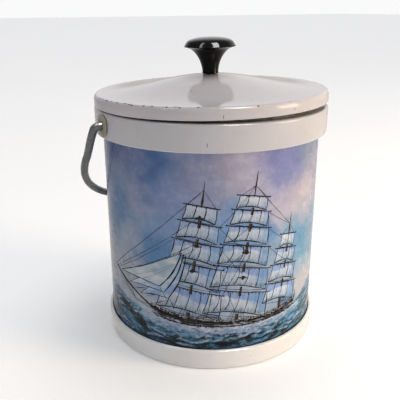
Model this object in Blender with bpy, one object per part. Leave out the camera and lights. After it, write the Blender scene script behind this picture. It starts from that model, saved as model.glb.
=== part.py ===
# Vintage insulated ice bucket: a printed tin sleeve between a white collar and
# a white base cap, a plastic tub inside with foam round it, a shallow domed lid
# with a black knob, and a plain wire bail on two plastic bushings.
#
# Frame: metres, +Z up, origin at the centre of the flat underside. The bail
# pivots on the X axis direction at height PIVOT_Z, and hangs back over +Y.

import math

import bmesh
import bpy
from mathutils import Matrix, Vector

MM = 0.001

# ---- driving dimensions (millimetres) -------------------------------------
GAP = 0.3               # clearance kept between touching pieces

SLEEVE_R = 84.6         # printed tin sleeve, outside
SLEEVE_WALL = 0.5
SLEEVE_Z0 = 1.4
SLEEVE_Z1 = 169.6

BASE_R = 87.5           # base cap, widest, just under its top edge
BASE_FOOT_R = 86.9      # base cap at the foot
BASE_H = 15.9
BASE_SHEET = 0.7

COLLAR_R = 90.3         # collar band, outside
COLLAR_Z0 = 166.2
COLLAR_Z1 = 185.6
COLLAR_SHEET = 0.8
COLLAR_LIP_R = 78.0     # inner edge of the collar's top face

TUB_MOUTH_R = 72.0      # inside radius of the tub at its mouth
TUB_FLOOR_R = 68.5      # inside radius at its floor
TUB_WALL = 1.7
TUB_FLOOR_Z = 15.5      # inside floor
TUB_RIM_R = 85.4
TUB_RIM_Z0 = 185.9
TUB_RIM_Z1 = 187.2

FOAM_R = 83.4
FOAM_NECK_R = 80.4      # foam is rebated above the sleeve for the pivots
FOAM_TOP = 184.2

LID_R = 90.0
LID_SKIRT_Z0 = 187.7
LID_EDGE_Z = 196.2      # height of the lid's flat edge zone
LID_RISE = 11.1         # rise of the dome above the edge zone
LID_SHEET = 0.6
LID_EDGE_RADIUS = 2.2
LID_COCK = math.radians(1.1)     # the lid sits slightly raised on one side
LID_COCK_DIR = math.radians(-32.0)   # direction of the raised side in plan
PLUG_R = 69.0
PLUG_Z0 = 179.0

KNOB_Z0 = 207.6
KNOB_TOP = 234.0
KNOB_RIM_R = 19.7
KNOB_STEM_R = 6.2

PIVOT_Z = 176.5
WIRE_R = 3.0
BAIL_END_X = 82.6       # ends of the wire, inside the collar
BAIL_LEG_X = 96.5       # centre line of the legs beside the bushings
BAIL_BEND_R = 4.4
BAIL_WAIST_X = 94.0     # half width of the arch
BAIL_ARCH_W = 40.0      # the arch starts this far below the pivots
BAIL_CROWN_W = 125.0    # crown, from the pivot axis
BAIL_ARCH_POWER = 2.2
BAIL_REST = math.radians(44.7)   # from straight down, towards +Y

BUSH_FLANGE_R = 8.0
BUSH_NECK_R = 4.6
BUSH_HOLE_R = 5.0
BUSH_BORE_R = 3.35
BUSH_X0 = 86.5          # inner end of the neck
BUSH_X1 = 90.65         # seat face of the flange
BUSH_X2 = 92.1          # outer face of the flange

SEG = 56                # sides of the large visible turnings
SEG_HIDDEN = 32


for old in list(bpy.data.objects):
    bpy.data.objects.remove(old, do_unlink=True)

collection = bpy.context.scene.collection


def material(name, colour, roughness, metallic=0.0):
    mat = bpy.data.materials.new(name)
    mat.use_nodes = True
    bsdf = mat.node_tree.nodes["Principled BSDF"]
    bsdf.inputs["Base Color"].default_value = (*colour, 1.0)
    bsdf.inputs["Roughness"].default_value = roughness
    bsdf.inputs["Metallic"].default_value = metallic
    mat.diffuse_color = (*colour, 1.0)
    return mat


def add_object(name, bm, mat, parent=None, location=(0, 0, 0)):
    mesh = bpy.data.meshes.new(name)
    bm.to_mesh(mesh)
    bm.free()
    mesh.shade_smooth()
    mesh.set_sharp_from_angle(angle=math.radians(35))
    mesh.materials.append(mat)
    obj = bpy.data.objects.new(name, mesh)
    collection.objects.link(obj)
    obj.location = location
    if parent is not None:
        obj.parent = parent
    return obj


def turned(profile, segments, axis="Z"):
    """Spin a closed (radius, height) outline, in millimetres, round an axis."""
    bm = bmesh.new()
    verts = [bm.verts.new((r * MM, 0.0, z * MM)) for r, z in profile]
    edges = [bm.edges.new((verts[i], verts[(i + 1) % len(verts)]))
             for i in range(len(verts))
             if not (profile[i][0] == 0 and profile[(i + 1) % len(verts)][0] == 0)]
    bmesh.ops.spin(bm, geom=verts + edges, cent=(0, 0, 0), axis=(0, 0, 1),
                   angle=2 * math.pi, steps=segments, use_duplicate=False)
    bmesh.ops.remove_doubles(bm, verts=bm.verts, dist=1e-6)
    bmesh.ops.dissolve_degenerate(bm, edges=bm.edges, dist=1e-7)
    loose = [e for e in bm.edges if not e.link_faces]
    bmesh.ops.delete(bm, geom=loose, context="EDGES")
    if axis == "X":
        bmesh.ops.transform(bm, matrix=Matrix.Rotation(math.pi / 2, 4, "Y"),
                            verts=bm.verts)
    bmesh.ops.recalc_face_normals(bm, faces=bm.faces)
    return bm


def arc(cx, cz, radius, a0, a1, steps):
    """Points of an arc in the profile plane, angles in degrees."""
    return [(cx + radius * math.cos(math.radians(a0 + (a1 - a0) * i / steps)),
             cz + radius * math.sin(math.radians(a0 + (a1 - a0) * i / steps)))
            for i in range(steps + 1)]


# ---- bucket -----------------------------------------------------------------
tin_print = material("sleeve_print", (0.30, 0.38, 0.52), 0.28)
white_paint = material("white_enamel", (0.80, 0.77, 0.74), 0.25)
white_paint_base = material("white_enamel_base", (0.82, 0.79, 0.76), 0.25)
white_paint_lid = material("white_enamel_lid", (0.78, 0.76, 0.77), 0.18)
tub_plastic = material("tub_plastic", (0.85, 0.84, 0.80), 0.30)
foam = material("foam", (0.90, 0.90, 0.88), 0.85)
bush_plastic = material("bushing_plastic", (0.72, 0.68, 0.52), 0.40)
bare_steel = material("bail_steel", (0.50, 0.50, 0.49), 0.35, 1.0)
nut_steel = material("spring_steel", (0.40, 0.40, 0.40), 0.40, 1.0)
fibre = material("fibre_washer", (0.28, 0.12, 0.08), 0.7)
vinyl = material("gasket_vinyl", (0.75, 0.73, 0.68), 0.5)
phenolic = material("black_phenolic", (0.012, 0.012, 0.013), 0.12)
brass = material("insert_brass", (0.75, 0.58, 0.28), 0.35, 1.0)
screw_steel = material("screw_steel", (0.62, 0.62, 0.60), 0.3, 1.0)

# printed sleeve: a plain rolled tube, open both ends
add_object("body_sleeve", turned([
    (SLEEVE_R, SLEEVE_Z1), (SLEEVE_R, SLEEVE_Z0),
    (SLEEVE_R - SLEEVE_WALL, SLEEVE_Z0), (SLEEVE_R - SLEEVE_WALL, SLEEVE_Z1),
], SEG), tin_print)

# base cap: a pressed pan with a small foot radius, a wall that flares a
# little, and a top edge turned in against the sleeve
foot = arc(BASE_FOOT_R - 1.2, 1.2, 1.2, -90, 0, 3)
shoulder = arc(BASE_R - 1.2, BASE_H - 1.2, 1.2, 0, 90, 3)
base_profile = ([(0, 0)] + foot + shoulder +
                [(SLEEVE_R + 0.4, BASE_H), (SLEEVE_R + 0.4, BASE_H - BASE_SHEET),
                 (BASE_R - BASE_SHEET - 0.6, BASE_H - BASE_SHEET),
                 (BASE_R - BASE_SHEET, BASE_H - BASE_SHEET - 0.6),
                 (BASE_FOOT_R - BASE_SHEET, BASE_SHEET + 0.4),
                 (BASE_FOOT_R - BASE_SHEET - 0.4, BASE_SHEET),
                 (0, BASE_SHEET)])
add_object("base_cap", turned(base_profile, SEG), white_paint_base)

# top collar: a pressed ring, C-shaped in section, hemmed against the sleeve
# below and carrying the tub's rim above, with a round hole for each bushing
t = COLLAR_SHEET
collar_profile = (arc(COLLAR_R - 1.3, COLLAR_Z0 + 1.3, 1.3, -90, 0, 3) +
                  arc(COLLAR_R - 1.6, COLLAR_Z1 - 1.6, 1.6, 0, 90, 3) +
                  [(COLLAR_LIP_R, COLLAR_Z1), (COLLAR_LIP_R, COLLAR_Z1 - t),
                   (COLLAR_R - t - 0.6, COLLAR_Z1 - t),
                   (COLLAR_R - t, COLLAR_Z1 - t - 0.6),
                   (COLLAR_R - t, COLLAR_Z0 + t + 0.4),
                   (COLLAR_R - t - 0.4, COLLAR_Z0 + t),
                   (SLEEVE_R + 0.4 + 0.8, COLLAR_Z0 + t),
                   (SLEEVE_R + 0.4 + 0.8, COLLAR_Z0 + 3.3),
                   (SLEEVE_R + 0.4, COLLAR_Z0 + 3.3),
                   (SLEEVE_R + 0.4, COLLAR_Z0)])
collar = add_object("top_collar", turned(collar_profile, SEG), white_paint)

for side, sign in (("left", -1), ("right", 1)):
    hole = turned([(0, 80.0), (BUSH_HOLE_R, 80.0), (BUSH_HOLE_R, 100.0), (0, 100.0)],
                  24, axis="X")
    if sign < 0:
        bmesh.ops.transform(hole, matrix=Matrix.Rotation(math.pi, 4, "Z"),
                            verts=hole.verts)
    cutter = add_object("cut_bushing_hole_" + side, hole, white_paint,
                        location=(0, 0, PIVOT_Z * MM))
    cutter.hide_render = True
    cutter.display_type = "WIRE"
    cut = collar.modifiers.new("bushing_hole_" + side, "BOOLEAN")
    cut.operation = "DIFFERENCE"
    cut.solver = "EXACT"
    cut.object = cutter

# plastic tub with a broad rim that lies on the collar
draft = (TUB_MOUTH_R - TUB_FLOOR_R) / (TUB_RIM_Z1 - TUB_FLOOR_Z)


def tub_inside(z):
    return TUB_FLOOR_R + draft * (z - TUB_FLOOR_Z)


tub_profile = ([(0, TUB_FLOOR_Z - TUB_WALL), (TUB_FLOOR_R - 3.0, TUB_FLOOR_Z - TUB_WALL)] +
               arc(TUB_FLOOR_R - 3.0, TUB_FLOOR_Z + 4.7 - TUB_WALL, 4.7, -60, 0, 2) +
               [(tub_inside(TUB_RIM_Z0) + TUB_WALL, TUB_RIM_Z0),
                (TUB_RIM_R - 0.3, TUB_RIM_Z0), (TUB_RIM_R, TUB_RIM_Z0 + 0.4),
                (TUB_RIM_R, TUB_RIM_Z1 - 0.4), (TUB_RIM_R - 0.4, TUB_RIM_Z1),
                (TUB_MOUTH_R + 1.0, TUB_RIM_Z1),
                (tub_inside(TUB_RIM_Z1 - 1.0), TUB_RIM_Z1 - 1.0)] +
               arc(TUB_FLOOR_R - 3.0, TUB_FLOOR_Z + 3.0, 3.0, 0, -90, 3) +
               [(0, TUB_FLOOR_Z)])
add_object("ice_liner", turned(tub_profile, 40), tub_plastic)

# moulded foam jacket, rebated at the top to clear the pivots
clear = TUB_WALL + 0.5
foam_profile = [(FOAM_R, 13.1), (FOAM_R, 168.9), (FOAM_NECK_R, 168.9),
                (FOAM_NECK_R, FOAM_TOP), (tub_inside(FOAM_TOP) + clear, FOAM_TOP),
                (tub_inside(20.0) + clear, 20.0), (tub_inside(13.1) + clear + 0.6, 13.1)]
add_object("foam_jacket", turned(foam_profile, SEG_HIDDEN), foam)
add_object("foam_base_pad", turned([
    (0, 1.3), (SLEEVE_R - SLEEVE_WALL - 1.3, 1.3), (SLEEVE_R - SLEEVE_WALL - 1.3, 12.7),
    (0, 12.7)], SEG_HIDDEN), foam)

# bail bushings: a round flange outside, a neck through the collar
bush_profile = [(BUSH_BORE_R, BUSH_X0), (BUSH_NECK_R, BUSH_X0),
                (BUSH_NECK_R, BUSH_X1), (BUSH_FLANGE_R, BUSH_X1),
                (BUSH_FLANGE_R, BUSH_X2 - 0.5), (BUSH_FLANGE_R - 0.6, BUSH_X2),
                (BUSH_BORE_R, BUSH_X2)]
for side, sign in (("left", -1), ("right", 1)):
    bm = turned(bush_profile, 28, axis="X")
    if sign < 0:
        bmesh.ops.transform(bm, matrix=Matrix.Rotation(math.pi, 4, "Z"), verts=bm.verts)
    add_object("bail_bushing_" + side, bm, bush_plastic, location=(0, 0, PIVOT_Z * MM))


# ---- bail -------------------------------------------------------------------
bail_axis = bpy.data.objects.new("bail_axis", None)
collection.objects.link(bail_axis)
bail_axis.location = (0, 0, PIVOT_Z * MM)
bail_axis.rotation_euler = (BAIL_REST, 0, 0)


def bail_path():
    """Centre line of the right half, from the wire's end to the crown."""
    pts = [(BAIL_END_X, 0.0), (88.0, 0.0)]
    bend_x = BAIL_LEG_X - BAIL_BEND_R
    for i in range(6):
        a = math.radians(18.0 * i)
        pts.append((bend_x + BAIL_BEND_R * math.sin(a),
                    BAIL_BEND_R * (1 - math.cos(a))))
    for w in (12.0, 24.0):
        f = (w - BAIL_BEND_R) / (BAIL_ARCH_W - BAIL_BEND_R)
        pts.append((BAIL_LEG_X + (BAIL_WAIST_X - BAIL_LEG_X) * f * f * (2 - f), w))
    for i in range(0, 21):
        a = math.pi / 2 * (1 - i / 20)
        e = 2 / BAIL_ARCH_POWER
        pts.append((BAIL_WAIST_X * max(math.sin(a), 0.0) ** e,
                    BAIL_ARCH_W + (BAIL_CROWN_W - BAIL_ARCH_W)
                    * max(math.cos(a), 0.0) ** e))
    return pts


right = bail_path()
centre_line = right + [(-x, w) for x, w in reversed(right[:-1])]
curve = bpy.data.curves.new("bail_handle", "CURVE")
curve.dimensions = "3D"
curve.bevel_depth = WIRE_R * MM
curve.bevel_resolution = 3
curve.use_fill_caps = True
spline = curve.splines.new("POLY")
spline.points.add(len(centre_line) - 1)
for point, (x, w) in zip(spline.points, centre_line):
    point.co = (x * MM, 0.0, -w * MM, 1.0)
curve.materials.append(bare_steel)
bail = bpy.data.objects.new("bail_handle", curve)
collection.objects.link(bail)
bail.parent = bail_axis

for side, sign in (("left", -1), ("right", 1)):
    washer = turned([(BUSH_BORE_R, 85.2), (6.0, 85.2), (6.0, 86.1), (BUSH_BORE_R, 86.1)],
                    24, axis="X")
    nut = turned([(BUSH_BORE_R, 83.7), (4.2, 83.7), (5.9, 84.4), (5.9, 84.9),
                  (BUSH_BORE_R, 84.9)], 24, axis="X")
    for name, bm, mat in (("pivot_washer_", washer, fibre), ("push_nut_", nut, nut_steel)):
        if sign < 0:
            bmesh.ops.transform(bm, matrix=Matrix.Rotation(math.pi, 4, "Z"),
                                verts=bm.verts)
        add_object(name + side, bm, mat, parent=bail_axis)


# ---- lid --------------------------------------------------------------------
# Everything on the lid hangs from this empty, which carries the slight tilt.
lid_frame = bpy.data.objects.new("lid_frame", None)
collection.objects.link(lid_frame)
tilt_axis = Vector((-math.sin(LID_COCK_DIR), math.cos(LID_COCK_DIR), 0.0))
lid_frame.rotation_euler = Matrix.Rotation(-LID_COCK, 3, tilt_axis).to_euler()
pivot = Vector((0, 0, 188.0 * MM))
lid_frame.location = pivot - lid_frame.rotation_euler.to_matrix() @ pivot


def dome(r):
    """Height of the lid's upper face: flat at the knob and at the edge."""
    return LID_EDGE_Z + LID_RISE * math.cos(math.pi * min(r, 88.0) / 176.0) ** 2


s = LID_SHEET
e = LID_EDGE_RADIUS
upper = [(r, dome(r)) for r in (2.6, 10.0, 20.0, 32.0, 44.0, 56.0, 68.0, 79.0)]
under = [(r, dome(r) - s) for r in (79.0, 68.0, 56.0, 44.0, 32.0, 20.0, 10.0, 2.6)]
edge = arc(LID_R - e, LID_EDGE_Z - e, e, 90, 0, 3)
shell_profile = (upper + edge +
                 [(LID_R, LID_SKIRT_Z0 + 0.3), (LID_R - 0.3, LID_SKIRT_Z0),
                  (LID_R - 1.6, LID_SKIRT_Z0), (LID_R - 1.6, LID_SKIRT_Z0 + 1.0),
                  (LID_R - s, LID_SKIRT_Z0 + 1.4)] +
                 [(LID_R - s, LID_EDGE_Z - e), (LID_R - s - 0.8, LID_EDGE_Z - s - 0.5)] +
                 under)
add_object("lid_shell", turned(shell_profile, SEG), white_paint_lid, lid_frame)

plug_profile = [(0, PLUG_Z0), (PLUG_R - 1.5, PLUG_Z0), (PLUG_R, PLUG_Z0 + 1.5),
                (PLUG_R, 190.9), (88.0, 190.9), (88.0, 192.3), (PLUG_R - 1.5, 192.3),
                (PLUG_R - 1.5, PLUG_Z0 + 2.1), (PLUG_R - 2.1, PLUG_Z0 + 1.5),
                (0, PLUG_Z0 + 1.5)]
add_object("lid_liner", turned(plug_profile, 40), tub_plastic, lid_frame)
add_object("lid_foam_disc", turned([
    (0, PLUG_Z0 + 1.9), (PLUG_R - 3.4, PLUG_Z0 + 1.9), (PLUG_R - 1.9, PLUG_Z0 + 3.4),
    (PLUG_R - 1.9, 194.5), (0, 194.5)], SEG_HIDDEN), foam, lid_frame)
add_object("lid_gasket", turned([
    (75.5, 189.1), (83.5, 189.1), (83.5, 190.6), (75.5, 190.6)], SEG_HIDDEN),
    vinyl, lid_frame)

# knob: low crown, bevel down to a fine rim, and a trumpet-shaped stem
knob_profile = [(3.7, KNOB_Z0), (KNOB_STEM_R, KNOB_Z0)]
for i in range(1, 9):
    u = i / 8
    knob_profile.append((KNOB_STEM_R + 0.3 * u + 9.8 * u ** 3.3,
                         KNOB_Z0 + 18.9 * u ** 0.92))
knob_profile += [(KNOB_RIM_R - 0.5, 228.0), (KNOB_RIM_R, 228.7), (18.1, 231.2),
                 (14.9, 233.2), (8.0, KNOB_TOP - 0.15), (0, KNOB_TOP),
                 (0, 222.6), (3.7, 222.6)]
add_object("knob", turned(knob_profile, 36), phenolic, lid_frame)
add_object("knob_insert", turned([
    (2.3, 208.0), (3.4, 208.0), (3.4, 222.2), (0, 222.2), (0, 220.4), (2.3, 220.4)],
    20), brass, lid_frame)
add_object("knob_screw", turned([
    (0, 202.0), (3.0, 202.0), (4.1, 203.2), (4.1, 204.6), (1.95, 204.6), (1.95, 219.0),
    (1.4, 219.8), (0, 219.8)], 20), screw_steel, lid_frame)
add_object("knob_washer", turned([
    (2.3, 204.9), (6.5, 204.9), (6.5, 206.0), (2.3, 206.0)], 24), screw_steel, lid_frame)
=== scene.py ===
"""Looks of the vintage ice bucket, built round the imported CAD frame."""

import math

import bmesh
import bpy
import numpy as np
from mathutils import Matrix, Vector


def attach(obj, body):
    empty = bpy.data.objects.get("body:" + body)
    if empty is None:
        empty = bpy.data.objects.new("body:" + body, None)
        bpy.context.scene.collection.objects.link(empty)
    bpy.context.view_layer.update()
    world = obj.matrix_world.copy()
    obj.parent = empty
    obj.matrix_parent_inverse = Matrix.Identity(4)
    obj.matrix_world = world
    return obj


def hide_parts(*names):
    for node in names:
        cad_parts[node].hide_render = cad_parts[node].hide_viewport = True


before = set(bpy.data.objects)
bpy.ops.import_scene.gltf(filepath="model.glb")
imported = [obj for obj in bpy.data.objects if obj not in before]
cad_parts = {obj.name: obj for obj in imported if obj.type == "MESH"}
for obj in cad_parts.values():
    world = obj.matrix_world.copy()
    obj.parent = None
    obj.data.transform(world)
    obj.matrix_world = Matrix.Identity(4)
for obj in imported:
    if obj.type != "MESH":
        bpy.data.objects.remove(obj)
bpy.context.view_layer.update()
MM = 0.001

# ---- sizes repeated from the CAD, in millimetres ---------------------------
R = 84.6                      # sleeve
PIVOT_Z = 176.5
VIEW_AZ = math.radians(-32.0)  # plan direction the picture faces
CIRC = 2 * math.pi * R
PERIOD = CIRC / 2              # the picture is printed twice round the sleeve
Z_LOW, Z_HIGH = 14.6, 167.4    # printed zone that can be seen
FRONT = np.array([math.sin(VIEW_AZ), -math.cos(VIEW_AZ)])
SIDE = np.array([math.cos(VIEW_AZ), math.sin(VIEW_AZ)])


def on_sleeve(s, z, r):
    """(arc length to the right of the picture's middle, height) to x, y, z in metres."""
    a = np.asarray(s, float) / R
    x = r * (np.cos(a) * FRONT[0] + np.sin(a) * SIDE[0])
    y = r * (np.cos(a) * FRONT[1] + np.sin(a) * SIDE[1])
    return np.stack([x, y, np.broadcast_to(z, x.shape)], -1) * MM


# ---- small helpers -----------------------------------------------------------
def lin(c):
    c = np.asarray(c, float) / 255.0
    return np.where(c <= 0.04045, c / 12.92, ((c + 0.055) / 1.055) ** 2.4)


def rgb(c):
    return (*[float(v) for v in lin(c)], 1.0)


class Nodes:
    """A short way to write node trees."""

    def __init__(self, name):
        self.mat = bpy.data.materials.new(name)
        self.mat.use_nodes = True
        self.t = self.mat.node_tree
        self.t.nodes.clear()
        self.out = self.t.nodes.new("ShaderNodeOutputMaterial")
        self.b = self.t.nodes.new("ShaderNodeBsdfPrincipled")
        self.t.links.new(self.b.outputs[0], self.out.inputs[0])
        self.tc = self.t.nodes.new("ShaderNodeTexCoord")

    def set(self, **kw):
        for k, v in kw.items():
            self.b.inputs[k.replace("_", " ")].default_value = v
        return self

    def node(self, kind, **props):
        n = self.t.nodes.new(kind)
        for k, v in props.items():
            setattr(n, k, v)
        return n

    def link(self, a, b):
        self.t.links.new(a, b)

    def put(self, sock, v):
        if hasattr(v, "is_output") or hasattr(v, "links"):
            self.link(v, sock)
        else:
            sock.default_value = v

    def coords(self, scale=(1, 1, 1), loc=(0, 0, 0)):
        m = self.node("ShaderNodeMapping")
        m.inputs["Scale"].default_value = scale
        m.inputs["Location"].default_value = loc
        self.link(self.tc.outputs["Object"], m.inputs["Vector"])
        return m.outputs[0]

    def noise(self, scale, detail=4.0, rough=0.55, coords=None, distortion=0.0):
        n = self.node("ShaderNodeTexNoise")
        n.inputs["Scale"].default_value = scale
        n.inputs["Detail"].default_value = detail
        n.inputs["Roughness"].default_value = rough
        n.inputs["Distortion"].default_value = distortion
        self.link(coords if coords is not None else self.tc.outputs["Object"], n.inputs["Vector"])
        return n.outputs["Fac"]

    def voronoi(self, scale, coords=None, feature="F1", out="Distance"):
        n = self.node("ShaderNodeTexVoronoi", feature=feature)
        n.inputs["Scale"].default_value = scale
        self.link(coords if coords is not None else self.tc.outputs["Object"], n.inputs["Vector"])
        return n.outputs[out]

    def wave(self, scale, distortion, coords, detail=2.0, band="Z"):
        n = self.node("ShaderNodeTexWave", bands_direction=band)
        n.inputs["Scale"].default_value = scale
        n.inputs["Distortion"].default_value = distortion
        n.inputs["Detail"].default_value = detail
        self.link(coords, n.inputs["Vector"])
        return n.outputs["Fac"]

    def ramp(self, v, stops):
        n = self.node("ShaderNodeValToRGB")
        el = n.color_ramp.elements
        while len(el) < len(stops):
            el.new(0.5)
        for e, (p, c) in zip(el, stops):
            e.position = p
            e.color = c if len(c) == 4 else (*c, 1.0)
        self.link(v, n.inputs[0])
        return n.outputs[0]

    def step(self, v, lo, hi, a=0.0, b=1.0):
        n = self.node("ShaderNodeMapRange", clamp=True)
        n.inputs["From Min"].default_value = lo
        n.inputs["From Max"].default_value = hi
        n.inputs["To Min"].default_value = a
        n.inputs["To Max"].default_value = b
        self.link(v, n.inputs["Value"])
        return n.outputs[0]

    def math(self, op, a, b=0.0, clamp=False):
        n = self.node("ShaderNodeMath", operation=op, use_clamp=clamp)
        self.put(n.inputs[0], a)
        self.put(n.inputs[1], b)
        return n.outputs[0]

    def mix(self, fac, a, b, blend="MIX"):
        n = self.node("ShaderNodeMix", data_type="RGBA", blend_type=blend)
        self.put(n.inputs[0], fac)
        self.put(n.inputs[6], a)
        self.put(n.inputs[7], b)
        return n.outputs[2]

    def bump(self, height, strength, distance, normal=None):
        n = self.node("ShaderNodeBump")
        n.inputs["Strength"].default_value = strength
        n.inputs["Distance"].default_value = distance
        self.link(height, n.inputs["Height"])
        if normal is not None:
            self.link(normal, n.inputs["Normal"])
        self.link(n.outputs[0], self.b.inputs["Normal"])
        return n.outputs[0]

    def sep(self, what="Object"):
        n = self.node("ShaderNodeSeparateXYZ")
        self.link(self.tc.outputs[what], n.inputs[0])
        return n.outputs


def mesh_object(name, verts, faces, mat, body, smooth=True, sharp=35):
    me = bpy.data.meshes.new(name)
    me.from_pydata([tuple(v) for v in verts], [], faces)
    me.validate()
    me.update()
    if smooth:
        me.shade_smooth()
        if sharp:
            me.set_sharp_from_angle(angle=math.radians(sharp))
    me.materials.append(mat)
    ob = bpy.data.objects.new(name, me)
    bpy.context.scene.collection.objects.link(ob)
    if body:
        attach(ob, body)
    return ob


def arc(cx, cz, r, a0, a1, n):
    return [(cx + r * math.cos(math.radians(a0 + (a1 - a0) * i / n)),
             cz + r * math.sin(math.radians(a0 + (a1 - a0) * i / n))) for i in range(n + 1)]


def lathe(profile, seg, matrix=None, wobble=None):
    """Closed (r, z) outline in mm to verts and faces, open at no point."""
    pts = [profile[0]]
    for p in profile[1:]:
        if math.hypot(p[0] - pts[-1][0], p[1] - pts[-1][1]) > 1e-5:
            pts.append(p)
    if math.hypot(pts[0][0] - pts[-1][0], pts[0][1] - pts[-1][1]) < 1e-5:
        pts.pop()
    verts, rows = [], []
    for r, z in pts:
        if r < 1e-6:
            rows.append([len(verts)])
            verts.append((0, 0, z * MM))
        else:
            rows.append(list(range(len(verts), len(verts) + seg)))
            for k in range(seg):
                a = 2 * math.pi * k / seg
                rr, zz = (r, z) if wobble is None else wobble(r, z, a)
                verts.append((rr * MM * math.cos(a), rr * MM * math.sin(a), zz * MM))
    faces = []
    n = len(rows)
    for i in range(n):
        a, b = rows[i], rows[(i + 1) % n]
        if len(a) == 1 and len(b) == 1:
            continue
        for k in range(seg):
            k2 = (k + 1) % seg
            if len(a) == 1:
                faces.append((a[0], b[k2], b[k]))
            elif len(b) == 1:
                faces.append((a[k], a[k2], b[0]))
            else:
                faces.append((a[k], a[k2], b[k2], b[k]))
    verts = np.array(verts)
    if matrix is not None:
        m = np.array(matrix)
        verts = verts @ m[:3, :3].T + m[:3, 3]
    return verts, faces


def outward(ob):
    bm = bmesh.new()
    bm.from_mesh(ob.data)
    bmesh.ops.recalc_face_normals(bm, faces=bm.faces)
    bm.to_mesh(ob.data)
    bm.free()
    return ob


def turned(name, profile, seg, mat, body, replaces=(), matrix=None, wobble=None,
           sharp=40):
    v, f = lathe(profile, seg, matrix, wobble)
    ob = outward(mesh_object(name, v, f, mat, body, sharp=sharp))
    if sharp:
        ob.data.set_sharp_from_angle(angle=math.radians(sharp))
    if replaces:
        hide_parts(*replaces)
    return ob


def cut(ob, verts, faces):
    """Boolean a closed cutter out of ob, and drop the cutter."""
    me = bpy.data.meshes.new("cutter")
    me.from_pydata([tuple(v) for v in verts], [], faces)
    cu = bpy.data.objects.new("cutter", me)
    bpy.context.scene.collection.objects.link(cu)
    outward(cu)
    mod = ob.modifiers.new("cut", "BOOLEAN")
    mod.operation, mod.solver, mod.object = "DIFFERENCE", "EXACT", cu
    dep = bpy.context.evaluated_depsgraph_get()
    new = bpy.data.meshes.new_from_object(ob.evaluated_get(dep))
    ob.modifiers.clear()
    old = ob.data
    ob.data = new
    bpy.data.meshes.remove(old)
    bpy.data.objects.remove(cu, do_unlink=True)


# ---- noise and painting ------------------------------------------------------
rng = np.random.default_rng(7241)


def _hash(ix, iy, iz, seed):
    h = (ix.astype(np.int64) * 374761393 + iy.astype(np.int64) * 668265263
         + iz.astype(np.int64) * 2147483647 + seed * 974634777) & 0xFFFFFFFF
    h = ((h ^ (h >> 13)) * 1274126177) & 0xFFFFFFFF
    h = ((h ^ (h >> 16)) * 2246822519) & 0xFFFFFFFF
    return ((h ^ (h >> 15)) & 0xFFFF) / 65535.0


def vnoise(p, seed):
    """Value noise, 0 to 1, at points p (..., 3)."""
    i = np.floor(p).astype(np.int64)
    f = p - i
    f = f * f * f * (f * (f * 6 - 15) + 10)
    out = 0
    for dx in (0, 1):
        for dy in (0, 1):
            for dz in (0, 1):
                w = ((f[..., 0] if dx else 1 - f[..., 0]) * (f[..., 1] if dy else 1 - f[..., 1])
                     * (f[..., 2] if dz else 1 - f[..., 2]))
                out = out + w * _hash(i[..., 0] + dx, i[..., 1] + dy, i[..., 2] + dz, seed)
    return out


def fbm(p, seed, octaves=4, gain=0.5):
    total, amp, norm = 0, 1.0, 0
    for o in range(octaves):
        total = total + amp * vnoise(p * (2 ** o), seed + 31 * o)
        norm += amp
        amp *= gain
    return total / norm


# The painting is made once on a (height, arc length) grid that covers one
# period of the picture, and then laid twice round the sleeve.
STEP = 0.33
COLS = int(round(PERIOD / STEP))
ROWS = int(round((Z_HIGH - Z_LOW) / STEP))
DS = PERIOD / COLS
DZ = (Z_HIGH - Z_LOW) / (ROWS - 1)
S0 = -PERIOD / 2
gs = S0 + (np.arange(COLS) + 0.5) * DS
gz = Z_LOW + np.arange(ROWS) * DZ
GS, GZ = np.meshgrid(gs, gz)
ring = GS * 2 * math.pi / PERIOD
RP = PERIOD / (2 * math.pi)
P3 = np.stack([np.cos(ring) * RP, np.sin(ring) * RP, GZ], -1)   # periodic coordinates, mm


def wrapped(ds):
    return (ds + PERIOD / 2) % PERIOD - PERIOD / 2


def paint_over(img, mask, colour):
    img += (np.asarray(colour, float) - img) * mask[..., None]


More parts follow.
